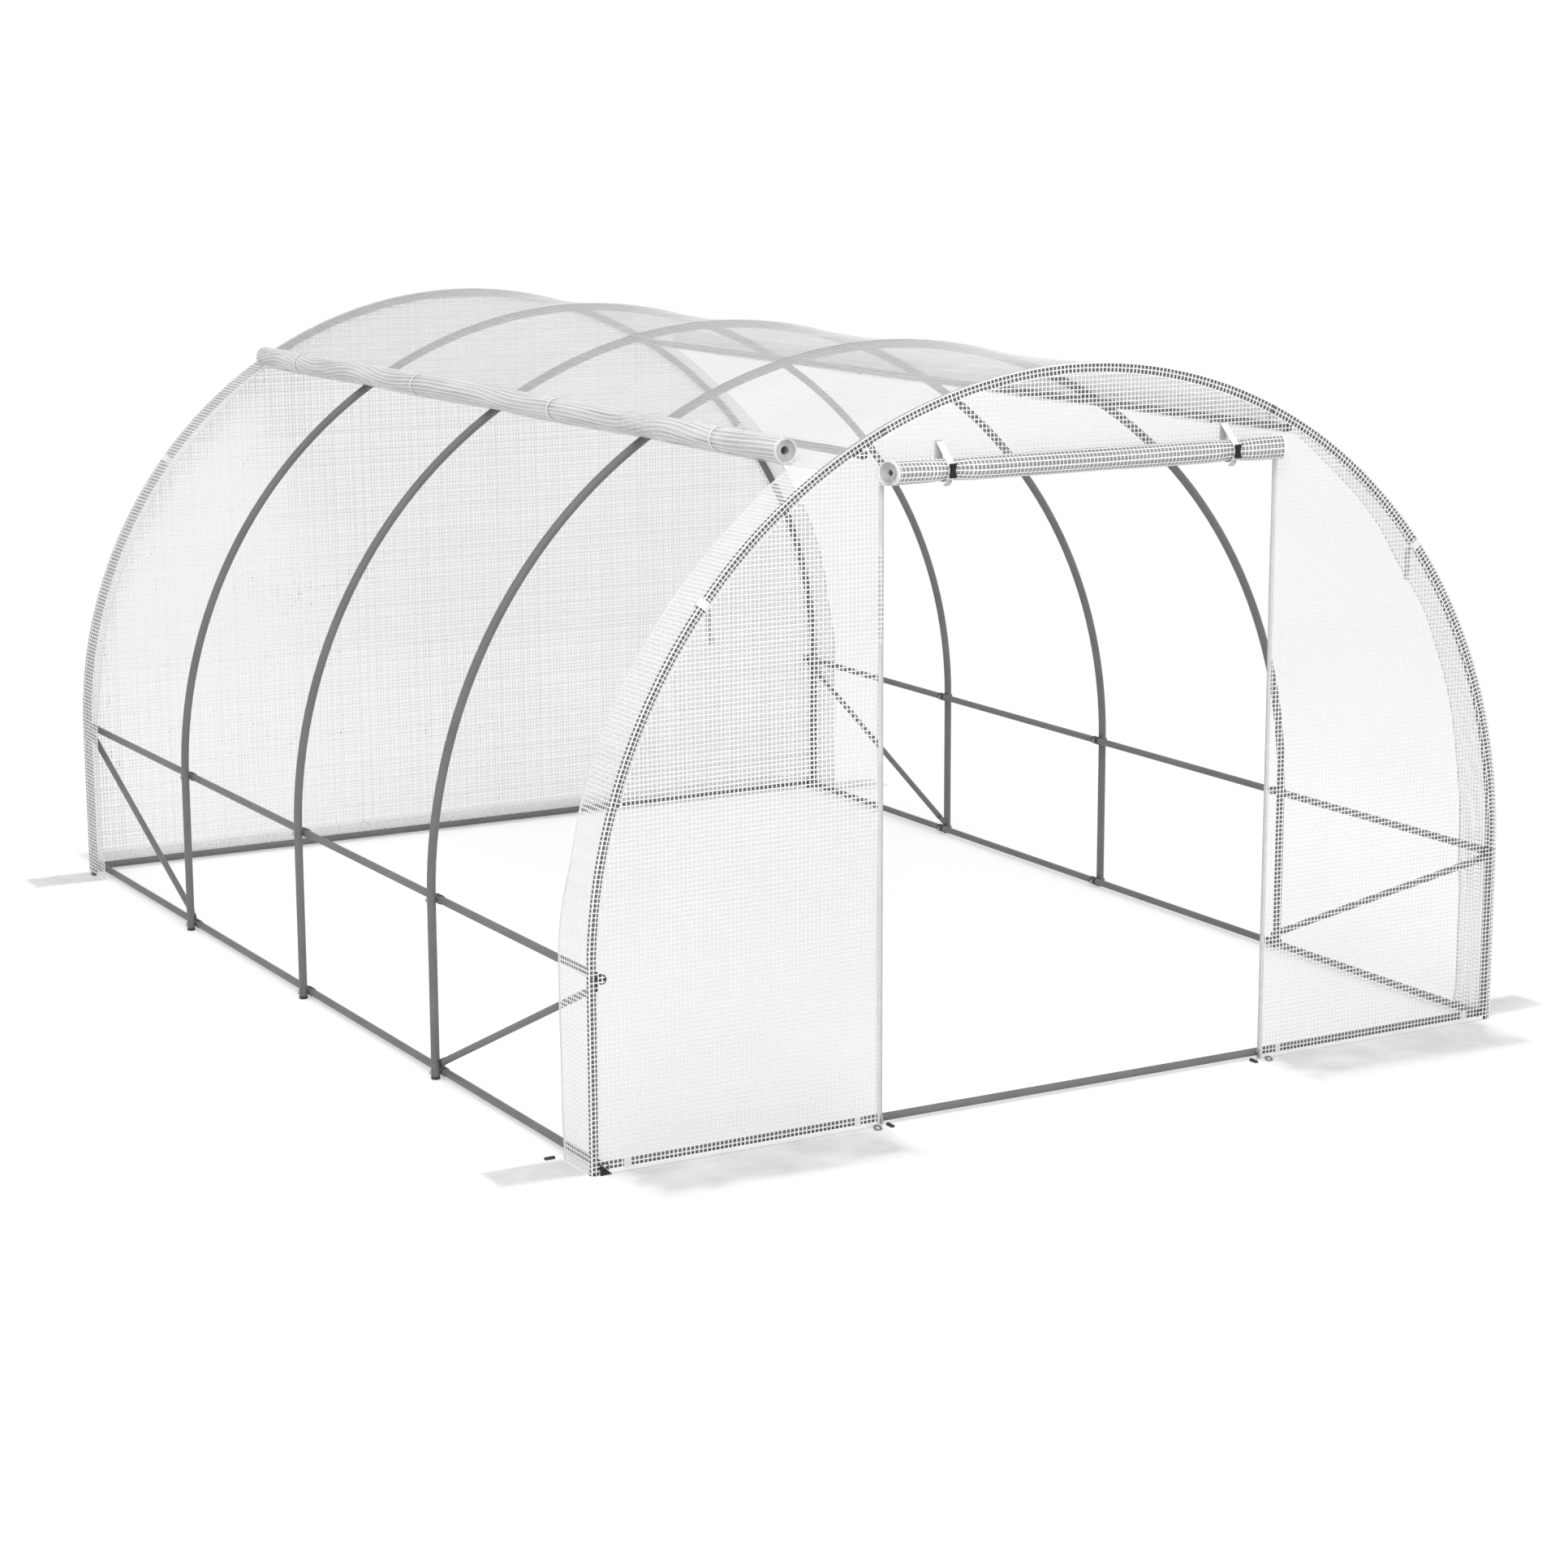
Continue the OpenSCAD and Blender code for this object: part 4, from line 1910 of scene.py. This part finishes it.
def smooth_line(corners: Sequence[Sequence[float]], count: int, closed: bool = False) -> Array:
    """Rounds a line through a few corners by cutting them over and over.

    Args:
        corners: The line's corners.
        count: How many times each corner is cut.
        closed: Whether the line is a loop.

    Returns:
        The rounded line's points.
    """
    line = np.array(corners, float)
    for _ in range(count):
        following = np.roll(line, -1, axis=0) if closed else line[1:]
        before = line if closed else line[:-1]
        near, far = before * 0.75 + following * 0.25, before * 0.25 + following * 0.75
        cut = np.stack([near, far], 1).reshape(-1, 3)
        line = cut if closed else np.concatenate([line[:1], cut, line[-1:]])
    return np.concatenate([line, line[:1]]) if closed else line


def ribbon(
    parts: MeshParts, line: Array, width_axis: Iterable[float], width: float, slot: int = 0
) -> None:
    """Adds a flat strap along a line.

    Args:
        parts: Where it is gathered.
        line: The strap's middle line.
        width_axis: The direction that its width keeps.
        width: Its width.
        slot: Number of the material that it takes.
    """
    along = np.gradient(line, axis=0)
    outward = np.cross(np.array(width_axis, float), along)
    outward /= np.linalg.norm(outward, axis=-1, keepdims=True)
    parts.add_tube(line, outward, strip_section(width, STRAP_T, -STRAP_T / 2), slot)


@dataclass
class DoorStraps:
    """Two webbing straps that hold the rolled door, each with a side-release buckle."""

    datum: Datum
    width: float = 22 * MM
    # Degrees round the roll at which a strap meets it and leaves it
    wrap: tuple[float, float] = (58, -172)
    # Its tail under the roll: millimetres across, share of the radius out, millimetres up
    tail: tuple[tuple[float, float, float], ...] = (
        (-3, 0.66, 7), (-5, 0.72, 1), (-8, 0.6, -5), (-9, 0.45, -9),
    )

    def centres(self) -> tuple[float, Vector, float]:
        """Strap's distance from the middle, the roll's centre and the strap's radius.

        Returns:
            Those three, in that order.
        """
        low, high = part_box("door_roll")
        middle = (low + high) / 2
        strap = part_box("door_straps")[1].x - self.width / 2
        radius = (high.z - low.z) / 2 + 1.3 * MM
        return strap, middle, radius

    def build_straps(self) -> None:
        """Builds both straps."""
        x, roll, r = self.centres()
        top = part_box("door_straps")[1].z
        back_y = -self.datum.panel_out - 1.5 * MM
        arc = np.radians(np.linspace(*self.wrap, 30))
        drops = np.linspace(top, roll.z + 8 * MM, 8)
        parts = MeshParts()
        for side in Side:
            at = side.value * x
            start = [(at, back_y, top - 2 * MM), (at, back_y - 5 * MM, top - 9 * MM)]
            wrap = [(at, roll.y - r * math.cos(a), roll.z + r * math.sin(a)) for a in arc]
            ribbon(parts, np.array([*start, *wrap]), (1, 0, 0), self.width)
            # The inner length behind the roll takes the greyer webbing: painted shade.
            behind = [(at - 3 * MM, back_y - 1 * MM, z) for z in drops]
            ribbon(parts, np.array(behind), (1, 0, 0), self.width, slot=1)
            # The tail under the roll takes the greyer webbing too: painted shade.
            tail = [
                (at + across * MM, roll.y - r * out, roll.z - r + up * MM)
                for across, out, up in self.tail
            ]
            ribbon(parts, smooth_line(tail, count=2), (1, 0, 0), self.width * 0.8, slot=1)
        straps = parts.build("roll_straps", [WEBBING, SHADED_WEBBING])
        hand_over(straps, ["door_straps"])

    def buckle_shapes(self) -> list[tuple[Shape, float]]:
        """The buckle's parts, drawn flat with Y up the strap and Z outwards.

        Returns:
            Each part, with how far up the strap it goes.
        """
        low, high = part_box("strap_buckles")
        tall, deep = high.z - low.z, high.y - low.y
        half = self.width / 2 - 1 * MM
        waist = half * 0.62
        grip = waist + 2.2 * MM
        # Half outlines: how far out, and how far up as a share of the height
        body = [(half, -0.5), (half, -0.22), (waist, -0.06), (waist, 0.1)]
        body += [(half, 0.26), (half, 0.5)]
        rib = [(half * 0.55, -0.18), (half * 0.45, 0.3)]
        bar = [(half, -0.04), (half, 0.04)]
        outlines = [mirrored([(x, tall * y) for x, y in edge]) for edge in (body, rib, bar)]
        prong = [(waist, -tall * 0.12), (grip, -tall * 0.08), (grip, tall * 0.12)]
        prong += [(waist, tall * 0.16)]
        shapes = [
            (prism(outlines[0], 0, deep * 0.72), 0.0),
            (prism(outlines[1], deep * 0.6, deep * 0.95), 0.0),
        ]
        shapes += [(prism(outlines[2], deep * 0.6, deep * 0.9), s * tall * 0.42) for s in (-1, 1)]
        for outline in (prong, [(-x, y) for x, y in reversed(prong)]):
            shapes.append((prism(outline, deep * 0.15, deep * 0.6), 0.0))
        return shapes

    def build_buckles(self) -> None:
        """Builds both buckles."""
        low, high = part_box("strap_buckles")
        x = self.centres()[0]
        parts = MeshParts()
        for side in Side:
            for shape, shift in self.buckle_shapes():
                at = (side.value * x, high.y, (low.z + high.z) / 2 + shift)
                parts.add(shape, placing(at, (0, -1, 0), (1, 0, 0)))
        buckles = parts.build("roll_strap_buckles", [BLACK_NYLON])
        bevel = buckles.modifiers.new("softened_edges", "BEVEL")
        bevel.width, bevel.segments = 0.6 * MM, 2
        hand_over(buckles, ["strap_buckles"])

    def build(self) -> None:
        """Builds the straps and the buckles."""
        self.build_straps()
        self.build_buckles()


@dataclass
class WallTies:
    """Ties round the rolled side walls, each with a small dark toggle under the roll."""

    datum: Datum
    width: float = 9 * MM
    # How far a tie slants along the roll, and the degrees round it at which its toggle sits
    slant: float = 4 * MM
    toggle_at: float = -130
    # The toggle's radius and height at each step, in millimetres
    toggle: tuple[tuple[float, float], ...] = ((0, 0), (5, 0), (7, 4), (5, 13), (0, 14))

    def build(self) -> None:
        """Builds every tie and its toggle."""
        d = self.datum
        toggle = lathe([(r * MM, h * MM) for r, h in self.toggle], segments=14)
        away, turn = math.radians(self.toggle_at), np.linspace(0, 2 * math.pi, 41)
        parts = MeshParts()
        for side in Side:
            low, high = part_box(f"side_roll_{side.name.lower()}")
            middle = (low + high) / 2 + Vector(d.roll_shift(side))
            r = (high.z - low.z) / 2 + 0.4 * MM
            out = np.array([side.value * math.cos(away), 0, math.sin(away)])
            for i, y in enumerate(d.tie_ys()):
                line = [
                    middle.x + side.value * r * np.cos(turn),
                    y + self.slant * np.sin(turn + i),
                    middle.z + r * np.sin(turn),
                ]
                ribbon(parts, np.stack(line, axis=-1), (0, 1, 0), self.width)
                foot = np.array([middle.x, y, middle.z]) + out * r
                parts.add(toggle, placing(foot, out, (0, 1, 0)), slot=1)
        ties = parts.build("wall_roll_ties", [WEBBING, BLACK_NYLON])
        hand_over(ties, ["side_roll_ties"])


@dataclass
class HoopTies:
    """Ties that hold the cover to the end hoops, with loose ends inside at the door."""

    datum: Datum
    width: float = 24 * MM
    tail: float = 90 * MM
    tail_w: float = 17 * MM

    def angle(self) -> float:
        """How far round the arch the ties are.

        Returns:
            Radians up from the horizontal.
        """
        d, high = self.datum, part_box("hoop_ties")[1]
        outer = d.film_out + 2.3 * MM
        return (math.acos(high.x / outer) + math.asin((high.z - d.spring_z) / outer)) / 2

    def build(self) -> None:
        """Builds the four ties."""
        d, turn = self.datum, self.angle()
        outer, face = d.film_out + 1.2 * MM, d.panel_out + 1.2 * MM
        inner, rear = d.arch_r - d.hoop_r - 3 * MM, d.hoop_ys[-1] - d.hoop_r - 2 * MM
        corners = [(outer, rear), (outer, face), (inner, face), (inner, rear)]
        centre, drop = np.array([0, 0, d.spring_z]), np.array([0, 0, -self.tail])
        parts = MeshParts()
        for side in Side:
            out = np.array([side.value * math.cos(turn), 0, math.sin(turn)])
            round_hoop = np.array([-side.value * math.sin(turn), 0, math.cos(turn)])
            lean = np.array([-side.value * MM, 0, 0])
            for end in End:
                y = np.array([0, end.value, 0])
                loop = smooth_line([centre + out * a + y * b for a, b in corners], 3, closed=True)
                ribbon(parts, loop, round_hoop, self.width)
                if end is End.REAR:
                    continue
                knot = centre + out * (inner - 3 * MM) + y * (d.hoop_ys[-1] - 2 * MM)
                ends = [
                    knot,
                    knot + drop * 0.3 + lean * 6,
                    knot + drop * 0.7 + lean * 4 + y * 3 * MM,
                    knot + drop + lean * 12 + y * 1 * MM,
                ]
                # The loose end inside the door takes the greyer webbing: painted shade.
                ribbon(parts, smooth_line(ends, count=2), (1, 0, 0), self.tail_w, slot=1)
        ties = parts.build("hoop_film_ties", [WEBBING, SHADED_WEBBING])
        hand_over(ties, ["hoop_ties"])


@dataclass
class DoorZips:
    """The zip halves down both edges of the doorway, with their sliders at the foot."""

    datum: Datum
    tape: float = 15 * MM
    # Half the width, the height and the thickness of a tooth, and their spacing
    tooth: float = 2.4 * MM
    tooth_h: float = 2.4 * MM
    tooth_t: float = 1.1 * MM
    tooth_pitch: float = 4 * MM
    # Half the slider's and the pull's outline from foot to head, in millimetres
    slider: tuple[tuple[float, float], ...] = ((4, 0), (5, 6), (3.4, 13))
    slider_t: float = 3.4 * MM
    pull: tuple[tuple[float, float], ...] = ((2.2, -22), (2.8, 0))
    pull_t: float = 1.2 * MM

    def build(self) -> None:
        """Builds the tapes, the coils and the sliders."""
        low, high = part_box("door_zips")
        y = -self.datum.panel_out - 0.8 * MM
        z = stations(low.z, high.z, step=0.05)
        tall = self.tooth_h / 2
        tooth = prism(mirrored([(self.tooth, -tall), (self.tooth, tall)]), 0, self.tooth_t)
        slider, pull = (
            prism(mirrored([(x * MM, y * MM) for x, y in edge]), 0, thickness)
            for edge, thickness in ((self.slider, self.slider_t), (self.pull, self.pull_t))
        )
        # Each metal piece, how far it stands out from the tape, and its height over the foot
        fittings = [(slider, 0.8 * MM, 6 * MM), (pull, 4.4 * MM, 30 * MM)]
        parts = MeshParts()
        for side in Side:
            x = side.value * (high.x - self.tape / 2)
            line = np.stack([np.full_like(z, x), np.full_like(z, y), z], -1)
            ribbon(parts, line, (1, 0, 0), self.tape)
            edge = side.value * (high.x - self.tape + self.tooth)
            for height in np.arange(low.z + 8 * MM, high.z - 4 * MM, self.tooth_pitch):
                at = (edge, y - 0.6 * MM, height)
                parts.add(tooth, placing(at, (0, -1, 0), (1, 0, 0)), slot=1)
            for fitting, out, up in fittings:
                at = (edge, y - out, low.z + up)
                parts.add(fitting, placing(at, (0, -1, 0), (1, 0, 0)), slot=2)
        zips = parts.build("doorway_zips", [ZIP_TAPE, ZIP_COIL, ZINC_PLATE])
        hand_over(zips, ["door_zips"])


@dataclass
class GroundFixings:
    """Eyelets where the door's skirts fold, and the pegs that hold the corners."""

    datum: Datum
    eyelet_r: float = 12.5 * MM
    # The eyelets' place: beside the doorway, out from the panel, and up on the fold
    eyelet_at: tuple[float, float, float] = (26 * MM, 22 * MM, 5 * MM)
    peg_w: float = 11 * MM
    peg_l: float = 28 * MM
    peg_t: float = 7 * MM

    def build_eyelets(self) -> None:
        """Builds the two eyelets beside the doorway, tilted on the skirt's fold."""
        d, r = self.datum, self.eyelet_r
        beside, out, up = self.eyelet_at
        hole = r * 0.45
        profile = [(hole, 0), (r, 0), (r, 0.8 * MM), (r * 0.75, 2 * MM), (hole, 1 * MM), (hole, 0)]
        parts = MeshParts()
        for side in Side:
            at = (side.value * (d.door_half + beside), -d.panel_out - out, up)
            parts.add(lathe(profile, segments=24), placing(at, (0, -0.45, 0.9), (1, 0, 0)))
        hand_over(parts.build("skirt_eyelets", [POWDER_COAT], smooth=True))

    def build_pegs(self) -> None:
        """Builds the flat tops of the pegs, pressed down to the ground."""
        d = self.datum
        # On the right: each peg's place, and which way it lies
        spots = [
            ((d.film_out + 26 * MM, -d.strip_y + 15 * MM), (1, 0)),
            ((d.film_out + 6 * MM, d.hoop_ys[-1] - 55 * MM), (0, -1)),
            ((d.door_half - 20 * MM, -d.panel_out - 12 * MM), (0, -1)),
        ]
        half, tall = self.peg_w / 2, self.peg_t
        blade = mirrored([(half, 0), (half, tall * 0.6), (half * 0.5, tall)])
        peg = prism(blade, 0, self.peg_l)
        parts = MeshParts()
        for side in Side:
            s = side.value
            for (x, y), (dx, dy) in spots:
                foot = (s * (x - dx * self.peg_l / 2), y - dy * self.peg_l / 2, 0.3 * MM)
                parts.add(peg, placing(foot, (s * dx, dy, 0), (-dy, s * dx, 0)))
        hand_over(parts.build("corner_pegs", [DARK_PLASTIC]))

    def build(self) -> None:
        """Builds the eyelets and the pegs."""
        self.build_eyelets()
        self.build_pegs()


# ------------------------------------------------------------------ the whole


# Width of the wall's own skirt, which is rolled up with it
WALL_SKIRT = 0.25
# How far the right roll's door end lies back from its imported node's end
SHORT_END = 110 * MM


def build_cover(d: Datum) -> None:
    """Builds the roof, the end panels, the strips and the skirts.

    Args:
        d: Where the frame's tubes and film lie.
    """
    RoofCover(d).build()
    for side in Side:
        for end in End:
            EndStrip(d, side, end).build()
    r = d.film_r
    front = ["hoop_arch_1", "hoop_legs_1"]
    # The left door panel keeps the darker film: painted shade.
    EndPanel(d, "front_panel_left", End.DOOR, -r, -d.door_half, seed=5).build(front)
    EndPanel(
        d, "front_panel_right", End.DOOR, d.door_half, r, seed=6, film=LIGHTER_FILM,
        scrim=NARROW_SCRIM, ticks=SCRIM,
    ).build(front)
    EndPanel(
        d, "front_panel_top", End.DOOR, -d.door_half, d.door_half,
        bottom=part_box("front_panel_top")[0].z, billow=2 * MM, seed=7, film=LIGHTER_FILM,
        scrim=NARROW_SCRIM, ticks=SCRIM,
    ).build(["hoop_arch_1"])
    EndPanel(
        d, "rear_panel", End.REAR, -r, r, seed=8, film=LIGHTER_FILM, scrim=REAR_SCRIM
    ).build(["hoop_arch_5", "hoop_legs_5"])
    build_skirts()


def build_skirts() -> None:
    """Builds the ground flaps outside the panels and the strips."""
    low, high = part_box("ground_flaps_front")
    inner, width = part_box("door_zips")[1].x - DoorZips.tape, high.y - low.y
    for side in Side:
        GroundFlap(
            side.name.lower(), (side.value * inner, high.y), (side.value, 0), (0, -1),
            high.x - inner, width, seed=4 + side.value,
        ).build("front_skirt", "ground_flaps_front")
    low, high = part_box("ground_flap_rear")
    GroundFlap(
        "whole", (low.x, low.y), (1, 0), (0, 1), high.x - low.x, high.y - low.y, seed=7
    ).build("rear_skirt", "ground_flap_rear")
    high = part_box("ground_flaps_side")[1]
    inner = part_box("end_strip_front_right")[1].x + 0.3 * MM
    depth = high.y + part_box("end_strip_front_right")[1].y
    for side in Side:
        for end in End:
            GroundFlap(
                f"{side.name.lower()}_{end.name.lower()}",
                (side.value * inner, end.value * high.y), (0, -end.value), (side.value, 0),
                depth, high.x - inner, fade=0.08, seed=20 + 2 * side.value + end.value,
            ).build("side_skirt", "ground_flaps_side")


def build_rolls(d: Datum) -> None:
    """Builds the rolled side walls and the rolled door.

    Args:
        d: Where the frame's tubes and film lie.
    """
    wall = d.film_r * d.roof_angle + d.spring_z + WALL_SKIRT
    for side in Side:
        contact = (-side.value * math.cos(d.roof_angle), 0, -math.sin(d.roof_angle))
        name = side.name.lower()
        RolledSheet(
            f"wall_roll_{name}", f"side_roll_{name}", (0, 1, 0), contact, WALL_ROLL_FILM,
            ROLLED_TAPE, wall, trim=SHORT_END if side is Side.RIGHT else 0.0,
            shift=d.roll_shift(side), swell=3 * MM, ties=tuple(d.tie_ys()), seed=21 + side.value,
        ).build()
    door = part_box("front_panel_top")[0].z
    strap = DoorStraps(d).centres()[0]
    RolledSheet(
        "rolled_door", "door_roll", (1, 0, 0), (0, 1, 0), DOOR_ROLL_FILM, SCRIM_TAPE,
        door, core_r=9 * MM, turns=12, slant=0.4, step=30 * MM, drift=0.25,
        shift=(0, 0, 1.5 * MM), swell=8 * MM, ties=(-strap, strap), seed=27,
    ).build()


def main() -> None:
    """Builds the studio, then the object from its frame outwards."""
    logging.basicConfig(level=logging.INFO, format="%(message)s")
    Studio().build()
    d = Datum.from_frame()
    SteelFrame(d).build()
    build_cover(d)
    build_rolls(d)
    DoorStraps(d).build()
    WallTies(d).build()
    HoopTies(d).build()
    DoorZips(d).build()
    GroundFixings(d).build()


if __name__ == "__main__":
    main()
